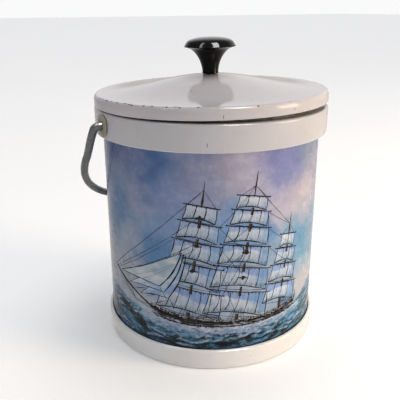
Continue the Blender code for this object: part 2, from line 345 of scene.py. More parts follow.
# ---- sky ---------------------------------------------------------------------
# soft pools of colour: arc length, height, spreads, colour, weight
SKY = [
    (-128, 158, 26, 20, (92, 112, 148), 1.0), (-100, 160, 20, 18, (84, 104, 142), 1.0),
    (-62, 160, 12, 9, (136, 136, 166), 0.9), (-40, 156, 17, 13, (74, 104, 150), 1.3),
    (-70, 140, 14, 10, (142, 146, 170), 0.9), (-88, 132, 18, 12, (124, 144, 172), 1.0),
    (-32, 134, 17, 12, (138, 147, 178), 1.0), (-81, 113, 11, 12, (96, 130, 170), 1.2),
    (-58, 122, 14, 10, (160, 160, 182), 1.0), (-104, 110, 16, 14, (156, 164, 184), 1.0),
    (-62, 102, 12, 10, (156, 161, 180), 0.9), (-45, 90, 11, 14, (88, 128, 172), 1.3),
    (-38, 112, 14, 9, (134, 150, 180), 0.9), (-78, 92, 15, 10, (174, 178, 188), 0.9),
    (-92, 74, 18, 13, (184, 182, 188), 1.0), (-70, 66, 16, 9, (176, 172, 178), 0.8),
    (-112, 62, 20, 12, (194, 190, 192), 1.0), (-128, 84, 18, 16, (160, 168, 182), 1.0),
    (-128, 122, 20, 16, (120, 132, 164), 1.0),
    (-12, 160, 15, 13, (144, 142, 168), 1.0), (-10, 142, 15, 11, (158, 157, 182), 1.0),
    (10, 158, 15, 12, (162, 152, 166), 1.1), (8, 138, 16, 10, (146, 144, 166), 0.9),
    (30, 162, 14, 10, (196, 182, 192), 1.0), (24, 144, 14, 9, (186, 175, 186), 1.0),
    (50, 160, 14, 14, (124, 124, 172), 1.3), (60, 146, 13, 10, (134, 136, 180), 1.0),
    (44, 138, 12, 8, (176, 170, 190), 0.8), (12, 124, 14, 10, (138, 152, 182), 0.8),
    (-6, 116, 16, 10, (124, 148, 184), 0.8), (18, 108, 12, 12, (110, 146, 186), 0.9),
    (78, 160, 16, 13, (141, 149, 166), 1.0), (70, 134, 15, 9, (196, 178, 188), 1.1),
    (86, 126, 17, 11, (214, 196, 194), 1.1), (66, 118, 11, 8, (196, 182, 190), 0.8),
    (96, 142, 16, 12, (186, 172, 186), 0.9), (84, 110, 13, 7, (186, 178, 192), 0.8),
    (80, 96, 13, 9, (112, 160, 191), 1.2), (86, 82, 14, 9, (102, 159, 188), 1.2),
    (104, 100, 16, 12, (132, 164, 190), 1.0), (80, 68, 12, 7, (168, 186, 198), 0.9),
    (92, 56, 18, 8, (214, 202, 198), 1.2), (116, 64, 18, 10, (196, 190, 192), 1.0),
    (116, 84, 16, 12, (150, 166, 184), 1.0), (122, 152, 18, 16, (120, 128, 164), 1.0),
    (112, 124, 14, 12, (160, 158, 182), 0.8), (64, 84, 10, 30, (150, 170, 192), 0.5),
    (0, 70, 50, 20, (150, 164, 184), 0.4), (36, 60, 36, 14, (170, 176, 190), 0.4),
    (-56, 52, 14, 7, (190, 186, 190), 0.7),
]


def paint_sky():
    wx = (fbm(P3 / 21.0, 11, 4) - 0.5) * 30 + (fbm(P3 / 6.0, 12, 3) - 0.5) * 7
    wz = (fbm(P3 / 18.0, 13, 4) - 0.5) * 26 + (fbm(P3 / 5.0, 14, 3) - 0.5) * 6
    num = np.zeros(GS.shape + (3,))
    den = np.full(GS.shape, 1e-6)
    for s, z, rs, rz, c, w in SKY:
        d2 = (wrapped(GS + wx - s) / rs) ** 2 + ((GZ + wz - z) / rz) ** 2
        g = w * np.exp(-d2 * 0.85) + 1e-7 / (1 + d2)
        num += g[..., None] * np.asarray(c, float)
        den += g
    img = num / den[..., None]
    # thin washes, with slightly darker drying edges
    wash = fbm(P3 / 9.0 + 40, 21, 4)
    for level, amount in ((0.46, 7), (0.56, -8)):
        edge = np.exp(-((wash - level) / 0.012) ** 2)
        body = 1 / (1 + np.exp(-(wash - level) / 0.012))
        img += (body * amount)[..., None] * np.array([1.0, 0.9, 0.7]) - (edge * 3.5)[..., None]
    puff = fbm(P3 * np.array([1, 1, 1.35]) / 7.5 + 9, 24, 5, 0.58) - 0.5
    img += (puff * 26)[..., None] * np.array([1.0, 0.92, 0.80])
    grain = fbm(P3 / 1.3, 23, 3) - 0.5
    img += (grain * 7)[..., None]
    return np.clip(img * np.array([0.955, 1.0, 1.04]), 20, 245)


# ---- sea ---------------------------------------------------------------------
HORIZON = [(-133, 44), (-110, 47.5), (-96, 48), (-84, 45.5), (-70, 42.5), (-56, 41), (-40, 38),
           (0, 36), (40, 36), (70, 38.5), (84, 43), (96, 49), (106, 50), (118, 46), (133, 44)]


def horizon(s):
    xs = np.array([h[0] for h in HORIZON], float)
    zs = np.array([h[1] for h in HORIZON], float)
    return np.interp(wrapped(np.asarray(s, float)), xs, zs)


def stroke(img, s, z, length, width, angle, bend, colour, strength=1.0, ragged=0.0, seed=0):
    """One brush stroke: a bent lens, laid on the painting."""
    half = length * 0.62 + 2
    c0 = int((s - half - S0) / DS)
    c1 = int((s + half - S0) / DS) + 1
    r0 = max(0, int((z - half * 0.8 - Z_LOW) / DZ))
    r1 = min(ROWS, int((z + half * 0.8 - Z_LOW) / DZ) + 1)
    if r1 <= r0:
        return
    cols = np.arange(c0, c1)
    S = (S0 + (cols + 0.5) * DS)[None, :] - s
    Z = gz[r0:r1, None] - z
    ca, sa = math.cos(angle), math.sin(angle)
    u = (S * ca + Z * sa) / (length / 2)
    v = (-S * sa + Z * ca) - bend * (u * u - 0.4)
    t = np.clip(1 - u * u, 0, 1)
    w = width / 2 * np.sqrt(t) + 1e-6
    d = (w - np.abs(v)) / 0.35
    if ragged:
        d = d + ragged * (np.sin(u * 23 + seed) * 0.5 + np.sin(v * 9 + u * 11 + seed * 1.7) * 0.8)
    m = np.clip(d + 0.5, 0, 1) * (t > 0) * strength
    cc = cols % COLS
    block = img[r0:r1][:, cc]
    block += (np.asarray(colour, float) - block) * m[..., None]
    img[r0:r1, cc] = block


def paint_sea(img):
    hz = horizon(GS) + (fbm(P3 / 7.0, 51, 3) - 0.5) * 2.2
    depth = hz - GZ
    inside = np.clip(depth / 0.5 + 0.5, 0, 1)
    t = np.clip(depth / 30.0, 0, 1)
    sea = np.empty_like(img)
    stops = [(0, (110, 146, 170)), (0.12, (96, 138, 158)), (0.35, (76, 118, 134)),
             (0.6, (66, 106, 120)), (0.85, (70, 110, 136)), (1.0, (48, 76, 100))]
    for k in range(3):
        sea[..., k] = np.interp(t, [a for a, _ in stops], [c[k] for _, c in stops])
    q = P3 * np.array([1, 1, 2.6])
    n = fbm(q / 16.0, 61, 5, 0.6)
    paint_over(sea, np.clip((n - 0.54) * 7, 0, 0.85), (94, 140, 172))
    paint_over(sea, np.clip((0.45 - n) * 8, 0, 0.8), (46, 78, 88))
    paint_over(img, inside, (0, 0, 0))
    img += sea * inside[..., None]
    # rolling brush strokes, larger towards the foot
    tones = [(52, 88, 96), (76, 122, 136), (84, 130, 164), (118, 154, 188), (30, 44, 50),
             (58, 100, 104), (150, 174, 200), (96, 132, 154), (42, 70, 84), (66, 106, 146)]
    odds = np.array([0.15, 0.13, 0.14, 0.12, 0.12, 0.10, 0.08, 0.06, 0.06, 0.04])
    for count, lo, hi, w0, w1 in ((520, 7, 20, 1.4, 3.4), (700, 4, 12, 0.6, 1.6)):
        for i in range(count):
            s = rng.uniform(S0, S0 + PERIOD)
            h = float(horizon(s))
            d = rng.uniform(0.8, h - Z_LOW)
            z = h - d
            big = 0.45 + d / 24
            slope = 0.22 * math.sin(s / 11.0 + z / 5.0) + rng.normal(0, 0.12)
            if s < -50:
                slope -= 0.14
            if s > 55:
                slope += 0.16
            # neighbouring strokes share a tone, so patches of light and dark build up
            pick = vnoise(np.array([[s / 9.0 + 50, z / 3.6, 3.0]]), 77)[0] * 0.75 + rng.uniform(0, 0.25)
            c = np.array(tones[int(np.searchsorted(np.cumsum(odds) / odds.sum(), min(pick, 0.999)))], float)
            c *= rng.uniform(0.88, 1.1)
            stroke(img, s, z, rng.uniform(lo, hi) * big, rng.uniform(w0, w1) * big, slope,
                   rng.normal(0, 1.0) * big, c, rng.uniform(0.5, 0.95), ragged=0.9, seed=i)
    # crests: a dark underside, and foam along the top
    for k in range(26):
        s = rng.uniform(S0, S0 + PERIOD)
        h = float(horizon(s))
        z = rng.uniform(Z_LOW + 3, h - 3)
        span = rng.uniform(14, 32) * (0.6 + (h - z) / 30)
        amp = rng.uniform(0.8, 2.2)
        ph = rng.uniform(0, 6)
        for i in range(int(span * 1.6)):
            t = rng.uniform(-0.5, 0.5)
            ss = s + t * span
            zz = z + amp * math.sin(t * 5 + ph)
            an = math.atan(amp * 5 / span * math.cos(t * 5 + ph))
            stroke(img, ss, zz - abs(rng.normal(0.9, 0.6)), rng.uniform(3, 8), rng.uniform(0.5, 1.3),
                   an + rng.normal(0, 0.15), 0.3, np.array((34, 50, 58)) * rng.uniform(0.8, 1.4), 0.75, 1.0, i)
        for i in range(int(span * 1.5)):
            t = rng.uniform(-0.5, 0.5)
            ss = s + t * span
            zz = z + amp * math.sin(t * 5 + ph) + abs(rng.normal(0.3, 0.5))
            an = math.atan(amp * 5 / span * math.cos(t * 5 + ph))
            stroke(img, ss, zz, rng.uniform(1.5, 6), rng.uniform(0.3, 0.9), an + rng.normal(0, 0.25), 0.4,
                   np.array((168, 182, 206)) * rng.uniform(0.85, 1.08), rng.uniform(0.5, 0.95), 1.3, i)
    # the dark hollow ahead of the bow, and a few darker troughs
    for s, z, ln, wd, an in ((-70, 33.5, 22, 7, -0.42), (-63, 30.5, 20, 6, -0.45), (-76, 37, 15, 4.4, -0.4),
                             (-57, 26.5, 13, 3.8, -0.5), (30, 22.5, 15, 3.0, 0.12), (10, 19.5, 17, 3.4, 0.0),
                             (-26, 21.5, 15, 3.6, -0.2), (58, 25.0, 13, 2.8, 0.3), (84, 30, 17, 2.6, 0.34),
                             (112, 30, 17, 3.0, 0.1), (-110, 27, 15, 3.0, -0.15), (128, 24, 17, 3.2, 0.0)):
        for k in range(5):
            stroke(img, s + rng.normal(0, 2.6), z + rng.normal(0, 1.0), ln * rng.uniform(0.45, 0.9),
                   wd * rng.uniform(0.3, 0.62), an + rng.normal(0, 0.12), rng.normal(0, 0.8),
                   np.array((38, 50, 54)) * rng.uniform(0.85, 1.3), 0.85, 1.0, k)
    # foam thrown up along the hull, and broken crests
    for i in range(560):
        s = rng.uniform(-52, 82)
        base = 33.5 + 0.0011 * (s - 15) ** 2 * (1.1 if s < 15 else 0.9)
        z = base - abs(rng.normal(0, 3.4)) + 0.6
        c = np.array([(176, 188, 208), (154, 170, 196), (132, 156, 188), (196, 202, 214),
                      (112, 140, 166)][rng.integers(5)], float)
        stroke(img, s, z, rng.uniform(2, 8), rng.uniform(0.4, 1.3), rng.normal(0, 0.35),
               rng.normal(0, 0.7), c, rng.uniform(0.5, 0.95), 1.4, i)
    for i in range(330):
        s = rng.uniform(S0, S0 + PERIOD)
        h = float(horizon(s))
        z = h - abs(rng.normal(0, 8)) - 0.8
        if z < Z_LOW + 1:
            continue
        c = np.array([(164, 180, 202), (138, 162, 190), (186, 194, 206)][rng.integers(3)], float)
        stroke(img, s, z, rng.uniform(2, 9), rng.uniform(0.25, 0.7), rng.normal(0, 0.22),
               rng.normal(0, 0.8), c, rng.uniform(0.4, 0.9), 1.2, i)
    # spray to the left of the bow
    for i in range(150):
        s = rng.normal(-50, 7)
        z = 33 + rng.gamma(2.0, 2.4) - 0.18 * abs(s + 50)
        stroke(img, s, z, rng.uniform(1, 5), rng.uniform(0.3, 1.2), rng.normal(-0.6, 0.5),
               rng.normal(0, 0.5), (178, 186, 200), rng.uniform(0.35, 0.85), 1.2, i)
    # darker rim of print at the foot
    foot = np.clip((18.6 - GZ) / 3.0, 0, 1) * 0.55
    paint_over(img, foot, (30, 46, 66))
    return img


# ---- the ship ----------------------------------------------------------------
def catmull(pts, n):
    pts = [np.asarray(p, float) for p in pts]
    if len(pts) == 2:
        return np.array([pts[0] + (pts[1] - pts[0]) * t for t in np.linspace(0, 1, n)])
    ext = [2 * pts[0] - pts[1]] + pts + [2 * pts[-1] - pts[-2]]
    out = []
    for t in np.linspace(0, len(pts) - 1 - 1e-9, n):
        i = int(t)
        f = t - i
        a, b, c, d = ext[i:i + 4]
        out.append(0.5 * (2 * b + (c - a) * f + (2 * a - 5 * b + 4 * c - d) * f * f
                          + (3 * b - a - 3 * c + d) * f ** 3))
    return np.array(out)


class Sail:
    """A square sail hung from a yard: four corners, an arched foot, hollow leeches."""

    def __init__(self, tl, tr, bl, br, arch, hollow, seams, shade, far=False):
        self.tl, self.tr, self.bl, self.br = [np.asarray(p, float) for p in (tl, tr, bl, br)]
        self.arch, self.hollow, self.seams, self.shade, self.far = arch, hollow, seams, shade, far

    def at(self, u, v):
        u, v = np.asarray(u, float), np.asarray(v, float)
        top = self.tl + (self.tr - self.tl) * u[..., None]
        bot = self.bl + (self.br - self.bl) * u[..., None]
        bot = bot + np.stack([np.zeros_like(u), self.arch * np.sin(np.pi * u)], -1)
        p = top + (bot - top) * v[..., None]
        lean = np.sin(np.pi * v) * self.hollow
        p = p + np.stack([lean * (1 - 0.55 * u), 0 * u], -1)
        # wind-filled belly: the middle of the cloth hangs a little lower
        p = p - np.stack([0 * u, 0.5 * self.hollow * np.sin(np.pi * u) * np.sin(np.pi * v)], -1)
        return p


# A plain full-rigged ship, laid out by rule: each mast carries yards at falling
# heights, with arms that lengthen towards the deck; the near arms look longer.
MASTS = [((-17.0 + 36.0 * k, 40.0), (-17.0 + 36.0 * k + 0.125 * h, 40.0 + h))
         for k, h in enumerate((106.0, 112.0, 76.0))]


def on_mast(m, z):
    (x0, z0), (x1, z1) = MASTS[m]
    return x0 + (x1 - x0) * (z - z0) / (z1 - z0)


# one rule for every mast: yards get closer and shorter from the lowest up, and each
# sail fills most of the space below its yard. Mast, height of each yard, drop of its
# sail, left arm, right arm, slope, shade
RIG = []
for _m, _n, _low, _high, _arm in ((0, 5, 64.0, 128.0, 23.0), (1, 6, 62.0, 134.0, 23.0), (2, 4, 62.0, 100.0, 15.0)):
    _step = [0.86 ** _i for _i in range(_n)]
    _scale = (_high - _low) / sum(_step[1:])
    for _i in reversed(range(_n)):
        _len = _arm * (1 - 0.52 * _i / (_n - 1))
        RIG.append((_m, _low + _scale * sum(_step[1:_i + 1]), 0.9 * _scale * _step[_i], _len, _len, -0.16,
                    0.9 - 0.7 * _i / (_n - 1)))
SAILS = []
for _m, _z, _drop, _l, _r, _k, _sh in RIG:
    _x, _xb = on_mast(_m, _z), on_mast(_m, _z - _drop)
    _g = 1.06 if _drop > 8 else 1.0
    _lb, _rb = _l * _g + 0.05 * _drop, _r - 0.04 * _drop
    SAILS.append(Sail((_x - _l * 0.95, _z - _k * _l - 0.6), (_x + _r * 0.95, _z + _k * _r - 0.6),
                      (_xb - _lb, _z - _drop - _k * _lb), (_xb + _rb, _z - _drop + _k * _rb),
                      0.21 * _drop if _drop > 6 else 0.5, 0.02 * (_l + _r) * min(1, _drop / 12),
                      max(1, int((_l + _r) / 8.5)), _sh))
# jibs and the spanker: corner points, with the luff first
JIBS = []
for _i in range(3):
    _t = 0.20 + 0.28 * _i                       # where its tack sits along the bowsprit
    _tack = (-88.0 + 41.0 * _t, 66.0 - 21.0 * _t + 2.6)
    _head = (-20.5 + 1.6 * _i, 93.0 - 1.2 * _i)
    _clew = (-38.5 + 3.6 * _i, 63.5 - 4.2 * _i)
    JIBS.append([_tack, _head, _clew])
SPANKER = [(54.6, 57.0), (71.8, 50.6), (70.2, 42.6), (56.6, 43.2)]
STAYSAIL = [(22.6, 77.0), (17.8, 62.0), (14.0, 47.0), (25.4, 45.4)]
DECK = [(-48.6, 46.4), (-38, 43.6), (-26, 41.9), (-12, 40.3), (8, 38.9), (26, 38.6), (44, 39.0),
        (54, 40.0), (62, 40.4), (72.6, 43.0)]
WATER = [(-45.4, 40.4), (-36, 37.8), (-24, 36.4), (-8, 35.3), (12, 34.8), (30, 35.0), (46, 35.9),
         (58, 36.8), (66, 37.4), (71.0, 38.8)]
SPRIT = [(-88.8, 66.4), (-70.0, 56.8), (-46.0, 45.2)]


def inside_poly(poly, S, Z):
    """Even-odd test on arrays."""
    hit = np.zeros(S.shape, bool)
    n = len(poly)
    for i in range(n):
        x0, y0 = poly[i]
        x1, y1 = poly[(i + 1) % n]
        if y0 == y1:
            continue
        c = ((Z >= y0) != (Z >= y1)) & (S < (x1 - x0) * (Z - y0) / (y1 - y0) + x0)
        hit ^= c
    return hit


def fill(img, poly, shade, soft=True):
    """Fill a polygon on the painting. shade(S, Z) gives the colour array."""
    poly = np.asarray(poly, float)
    lo, hi = poly.min(0) - 1, poly.max(0) + 1
    c0, c1 = int((lo[0] - S0) / DS), int((hi[0] - S0) / DS) + 1
    r0, r1 = max(0, int((lo[1] - Z_LOW) / DZ)), min(ROWS, int((hi[1] - Z_LOW) / DZ) + 1)
    cols = np.arange(c0, c1)
    cover = np.zeros((r1 - r0, len(cols)))
    for ox in (-0.25, 0.25):
        for oz in (-0.25, 0.25):
            S, Z = np.meshgrid(S0 + (cols + 0.5 + ox) * DS, gz[r0:r1] + oz * DZ)
            cover += inside_poly(poly, S, Z) * 0.25
    S, Z = np.meshgrid(S0 + (cols + 0.5) * DS, gz[r0:r1])
    colour, alpha = shade(S, Z)
    cc = cols % COLS
    block = img[r0:r1][:, cc]
    block += (colour - block) * (cover * alpha)[..., None]
    img[r0:r1, cc] = block


def outline(sail, n=28):
    t = np.linspace(0, 1, n)
    o, z = np.ones(n), np.zeros(n)
    return np.concatenate([sail.at(t, z), sail.at(o, t), sail.at(t[::-1], o), sail.at(z, t[::-1])])


def paint_ship(img):
    def plain(a, b, ang=0.0, alpha=0.9, seed=5):
        a, b = np.asarray(a, float), np.asarray(b, float)

        def f(S, Z):
            n = fbm(np.stack([S / 7, Z / 5, 0 * S + seed], -1), seed, 3)
            t = np.clip(n * 1.8 - 0.4 + ang * (S - S.mean()) / (np.ptp(S) + 1), 0, 1)[..., None]
            return a + (b - a) * t, np.full(S.shape, alpha)
        return f

    # light behind the rigging
    fill(img, STAYSAIL, plain((176, 190, 196), (140, 166, 178), 0.3, 0.75, 3))
    fill(img, SPANKER, plain((128, 160, 198), (108, 142, 190), 0.3, 0.9, 4))
    for k, sail in enumerate(SAILS):
        poly = outline(sail)
        tl, tr, bl, br = sail.tl, sail.tr, sail.bl, sail.br

        def f(S, Z, sail=sail, k=k):
            # approximate sail coordinates from the corners
            u = (S - 0.5 * (tl[0] + bl[0])) / (0.5 * (tr[0] + br[0]) - 0.5 * (tl[0] + bl[0]))
            u = np.clip(u, 0, 1)
            top = tl[1] + (tr[1] - tl[1]) * u
            bot = bl[1] + (br[1] - bl[1]) * u + sail.arch * np.sin(np.pi * u)
            v = np.clip((top - Z) / np.maximum(top - bot, 1), 0, 1)
            light = np.array((194, 200, 213), float)
            grey = np.array((158, 175, 191), float)
            blue = np.array((110, 148, 194), float)
            lilac = np.array((126, 152, 198), float)
            n = fbm(np.stack([S / 6 + 3 * k, Z / 6, 0 * S + k], -1), 70 + k, 3) - 0.5
            c = light + (grey - light) * np.clip(v * 1.25 - 0.2 + n, 0, 1)[..., None]
            # shadow of the sail above, with a wavy lower edge
            edge = 0.30 + 0.10 * np.sin(u * 5.5 + k) + 0.25 * n
            if sail.shade > 0.3:
                m = np.clip((edge * (0.6 + sail.shade * 0.7) - v) / 0.10, 0, 1) * min(1, sail.shade + 0.25)
                c = c + (lilac - c) * m[..., None]
            # the turned-away right-hand cloth
            m = np.clip((u - (0.76 + 0.07 * np.sin(v * 4 + k) + 0.2 * n)) / 0.12, 0, 1) * (0.2 + 0.6 * sail.shade)
            c = c + (blue - c) * m[..., None]
            if sail.shade >= 1.0:
                m = np.clip(0.62 + 0.5 * n + 0.35 * (u - 0.4), 0, 1)
                c = c + (blue - c) * (m * 0.85)[..., None]
            # vertical cloth tones
            c = c * (1 + 0.035 * np.sin(u * 60 + 2 * v))[..., None]
            if k >= 11:
                c = c * 1.09
            return c, np.full(S.shape, 0.92)
        fill(img, poly, f)
    # jibs: front one greyer, the later ones blue in their folds
    tones = [((196, 202, 210), (158, 176, 188)), ((190, 200, 214), (134, 162, 198)),
             ((184, 196, 212), (128, 158, 196))]
    for tri, (a, b) in zip(JIBS[::-1], tones[::-1]):
        fill(img, jib_outline(tri), plain(a, b, 0.5, 1.0, 8))
    # hull: dark below a lighter, busy deck
    hull = np.concatenate([catmull(DECK, 60), catmull(WATER, 60)[::-1]])

    def dark(S, Z):
        n = fbm(np.stack([S / 2.2, Z / 0.9, 0 * S], -1), 91, 3)
        c = np.array((26, 22, 25), float) + (np.array((70, 66, 68)) - np.array((26, 22, 25))) \
            * np.clip(n * 3 - 1.7, 0, 1)[..., None]
        lowc = np.interp(S, [p[0] for p in WATER], [p[1] for p in WATER])
        ragged = (Z - lowc) - 2.4 * np.clip(fbm(np.stack([S / 3.4, Z / 3.0, 0 * S + 7], -1), 95, 3) - 0.42, 0, 1) * 3
        return c, np.clip(ragged / 0.5 + 0.6, 0.0, 1.0)
    # pale deck, cabins and bulwark light, above the dark side
    bulwark = np.concatenate([catmull([(x, z + 3.1) for x, z in DECK[1:]], 50), catmull(DECK[1:], 50)[::-1]])
    fill(img, bulwark, plain((196, 198, 204), (120, 124, 132), 0.0, 0.85, 12))
    fill(img, hull, dark)
    # the bow wave and the wash along the side
    for i in range(420):
        s = rng.uniform(-47, 74)
        base = float(np.interp(s, [p[0] for p in WATER], [p[1] for p in WATER]))
        z = base + rng.normal(-0.7, 1.0) + (1.6 if s < -36 else 0.0)
        stroke(img, s, z, rng.uniform(1.5, 7), rng.uniform(0.3, 1.1), rng.normal(0, 0.3), rng.normal(0.3, 0.6),
               np.array((186, 194, 212)) * rng.uniform(0.78, 1.08), rng.uniform(0.5, 0.95), 1.3, i)
    return img


def jib_outline(tri, n=16):
    tack, head, clew = [np.asarray(p, float) for p in tri]
    luff = np.array([tack + (head - tack) * t + np.array([0.2, -0.8]) * math.sin(math.pi * t)
                     for t in np.linspace(0, 1, n)])
    leech = np.array([head + (clew - head) * t + np.array([2.2, -1.2]) * math.sin(math.pi * t)
                      for t in np.linspace(0, 1, n)])
    foot = np.array([clew + (tack - clew) * t + np.array([0.4, 1.6]) * math.sin(math.pi * t)
                     for t in np.linspace(0, 1, n)])
    return np.concatenate([luff, leech, foot])


# ---- ink: thin ribbons of printed line ---------------------------------------
INK = {"v": [], "f": [], "c": [], "n": 0}
BLACK, BROWN, TAN, SOFT = (22, 19, 22), (56, 40, 28), (96, 74, 48), (60, 62, 72)
FRONT_OF = []                 # outlines that hide the line being drawn
ink_rng = np.random.default_rng(99)


def ink(pts, w=0.42, colour=BLACK, taper=0.35, wobble=0.10, layer=0, curve=True, step=1.6, tip=0.0):
    """Draw a line through pts. w is its width in mm; tip thins it towards its far end."""
    pts = [np.asarray(p, float) for p in pts]
    length = sum(np.linalg.norm(b - a) for a, b in zip(pts, pts[1:]))
    n = max(3, int(length / step) + 1)
    line = catmull(pts, n) if curve else catmull(pts[:2], n) if len(pts) == 2 else catmull(pts, n)
    d = np.gradient(line, axis=0)
    d /= np.linalg.norm(d, axis=1)[:, None] + 1e-9
    nrm = np.stack([-d[:, 1], d[:, 0]], 1)
    t = np.linspace(0, 1, n)
    jig = np.interp(t, np.linspace(0, 1, max(3, n // 3)),
                    ink_rng.normal(0, wobble, max(3, n // 3)))
    jig[0] = jig[-1] = 0
    line = line + nrm * jig[:, None]
    width = w * (1 - taper * np.abs(2 * t - 1) ** 3) * (1 + 0.22 * np.interp(
        t, np.linspace(0, 1, max(3, n // 2)), ink_rng.normal(0, 1, max(3, n // 2))))
    width = np.clip(width * 1.22 * (1 - tip * t ** 1.5), 0.14, None)
    hidden = np.zeros(n, bool)
    for poly in FRONT_OF:
        hidden |= inside_poly(poly, line[:, 0], line[:, 1])
    a = line + nrm * width[:, None] / 2
    b = line - nrm * width[:, None] / 2
    base = INK["n"]
    off = 0.045 + 0.02 * layer + 0.0008 * (len(INK["f"]) % 23)
    for p, q in zip(a, b):
        INK["v"] += [(p[0], p[1], off), (q[0], q[1], off)]
    for i in range(n - 1):
        if not (hidden[i] and hidden[i + 1]):
            INK["f"].append((base + 2 * i, base + 2 * i + 1, base + 2 * i + 3, base + 2 * i + 2))
    INK["c"] += [colour] * (2 * n)
    INK["n"] += 2 * n


def blot(s, z, rs, rz, colour=BLACK, points=9, layer=1, rough=0.25):
    """A small filled mark, left out where a nearer sail covers it."""
    at = np.array([[s]]), np.array([[z]])
    if any(inside_poly(poly, *at)[0, 0] for poly in FRONT_OF):
        return
    base = INK["n"]
    off = 0.05 + 0.02 * layer
    INK["v"].append((s, z, off))
    for k in range(points):
        a = 2 * math.pi * k / points
        m = 1 + ink_rng.normal(0, rough)
        INK["v"].append((s + rs * m * math.cos(a), z + rz * m * math.sin(a), off))
    for k in range(points):
        INK["f"].append((base, base + 1 + k, base + 1 + (k + 1) % points))
    INK["c"] += [colour] * (points + 1)
    INK["n"] += points + 1


mast_at = on_mast


def draw_ship():
    jib_shapes = [jib_outline(t) for t in JIBS]
    sail_shapes = [outline(sl) for sl in SAILS]
    FRONT_OF[:] = jib_shapes
    mast_of = [0] * 5 + [1] * 6 + [2] * 4
    # masts, seen between the sails
    for m, ((x0, z0), (x1, z1)) in enumerate(MASTS):
        k = (1.15, 1.1, 0.8)[m]
        rows = [r for r in RIG if r[0] == m]
        gaps = [(rows[0][1], z1)]
        for up_row, low_row in zip(rows, rows[1:]):
            gaps.append((low_row[1] - 3.2, up_row[1] - up_row[2] + 0.16 * up_row[2] - 0.3))
        gaps.append((z0, rows[-1][1] - rows[-1][2] + 2.6))
        for a, b in gaps:
            top = a > (122, 124, 96)[m]
            w0 = (1.05 if top else 1.6) * k
            ink([(mast_at(m, a), a), (mast_at(m, b), b)], w0, (48, 34, 26), 0.0 if top else 0.05, 0.05, 1,
                tip=0.8 if top else 0.0)
            if not top:
                ink([(mast_at(m, a) + w0 * 0.42, a), (mast_at(m, b) + w0 * 0.42, b)], 0.35, BLACK, 0.1,
                    0.04, 3)
            if not top:
                ink([(mast_at(m, a) - w0 * 0.2, a), (mast_at(m, b) - w0 * 0.2, b)], 0.45, TAN, 0.1, 0.04, 2)
    # sails
    for k, sail in enumerate(SAILS):
        t = np.linspace(0, 1, 12)
        z, o = np.zeros(12), np.ones(12)
        m = mast_of[k]
        heavy = (1.0, 0.92, 0.85)[m]
        small = np.linalg.norm(sail.tl - sail.bl) < 7
        ink(sail.at(t, o), 0.62 * heavy, BLACK, 0.25, 0.10, 2)                  # foot
        ink(sail.at(z, t), 0.50 * heavy, BLACK, 0.3, 0.12, 2)                   # leeches
        ink(sail.at(o, t), 0.46 * heavy, BLACK, 0.3, 0.12, 2)
        # yard, run past the sail at both ends
        e = (sail.tr - sail.tl) / np.linalg.norm(sail.tr - sail.tl)
        a, b = sail.tl - e * 2.0, sail.tr + e * 1.8
        lift = np.array([0, 0.7])
        mid = 0.5 * (a + b) + np.array([0, 0.25])
        ink([a + lift, mid + lift, b + lift], 0.62 * heavy, BROWN, 0.55, 0.08, 1)
        ink([a + lift * 0.5, mid + lift * 0.5, b + lift * 0.5], 0.30, BLACK, 0.2, 0.10, 3)
        blot(a[0], a[1] + 0.6, 0.7, 0.5)
        blot(b[0], b[1] + 0.6, 0.7, 0.5)
        if small:
            for i in range(4):
                u = (i + 0.7) / 4.6
                p = sail.at(np.array([u, u + 0.05]), np.array([0.0, 1.0]))
                ink(p, 0.22, BLACK, 0.6, 0.05, 2)
            continue
        # robands along the head
        for i in range(int(np.linalg.norm(sail.tr - sail.tl) / 3.0)):
            u = (i + 0.5) * 3.0 / np.linalg.norm(sail.tr - sail.tl)
            p = sail.at(np.array([u, u]), np.array([-0.03, 0.035]))
            ink(p, 0.34, BLACK, 0.3, 0.02, 3)
        # cloth seams
        for i in range(sail.seams):
            u = (i + 1) / (sail.seams + 1) + ink_rng.normal(0, 0.015)
            bow = ink_rng.normal(0.008, 0.012)
            p = sail.at(u + bow * np.sin(np.pi * t) - 0.012 * t, t)
            ink(p, 0.44 * heavy, (26, 24, 32), 0.5, 0.10, 2)
            blot(*sail.at(np.array([u]), np.array([0.03]))[0], 0.5, 0.6)
        # short strokes rising from the foot
        width = np.linalg.norm(sail.br - sail.bl)
        for i in range(int(width / 1.15)):
            u = (i + 0.5 + ink_rng.uniform(-0.25, 0.25)) * 1.15 / width
            h = ink_rng.uniform(0.10, 0.30)
            p = sail.at(np.array([u, u - 0.004]), np.array([1.0, 1.0 - h]))
            ink(p, 0.27, (54, 58, 68), 0.8, 0.02, 2)
        for i in range(int(width / 3.2)):
            u = (i + 0.5 + ink_rng.uniform(-0.3, 0.3)) * 3.2 / width
            v0 = ink_rng.uniform(0.25, 0.6)
            p = sail.at(np.array([u, u - 0.004]), np.array([v0 + ink_rng.uniform(0.06, 0.16), v0]))
            ink(p, 0.18, (96, 104, 120), 0.8, 0.02, 2)
        # foot rope loops and clew lines below the foot
        mid_u = 0.5
        c = sail.at(np.array([0.0, 1.0]), np.array([1.0, 1.0]))
        x = mast_at(m, c[:, 1].mean())
        ink([c[0], (x, c[:, 1].mean() + sail.arch * 0.4 - 1.6), c[1]], 0.28, BLACK, 0.4, 0.1, 2)
    # tops and crosstrees
    for m, zs in ((0, (79.5, 98.8, 119.8)), (1, (73.6, 93.0, 112.5)), (2, (63.5, 78.6))):
        for z in zs:
            x = mast_at(m, z)
            k = (1.0, 1.0, 0.6)[m]
            blot(x, z, 1.9 * k, 1.5 * k, (34, 28, 28), 11, 2, 0.3)
            ink([(x - 3.6 * k, z + 0.3), (x + 3.6 * k, z - 0.6)], 0.8 * k, (34, 28, 28), 0.6, 0.1, 2)
    FRONT_OF[:] = []
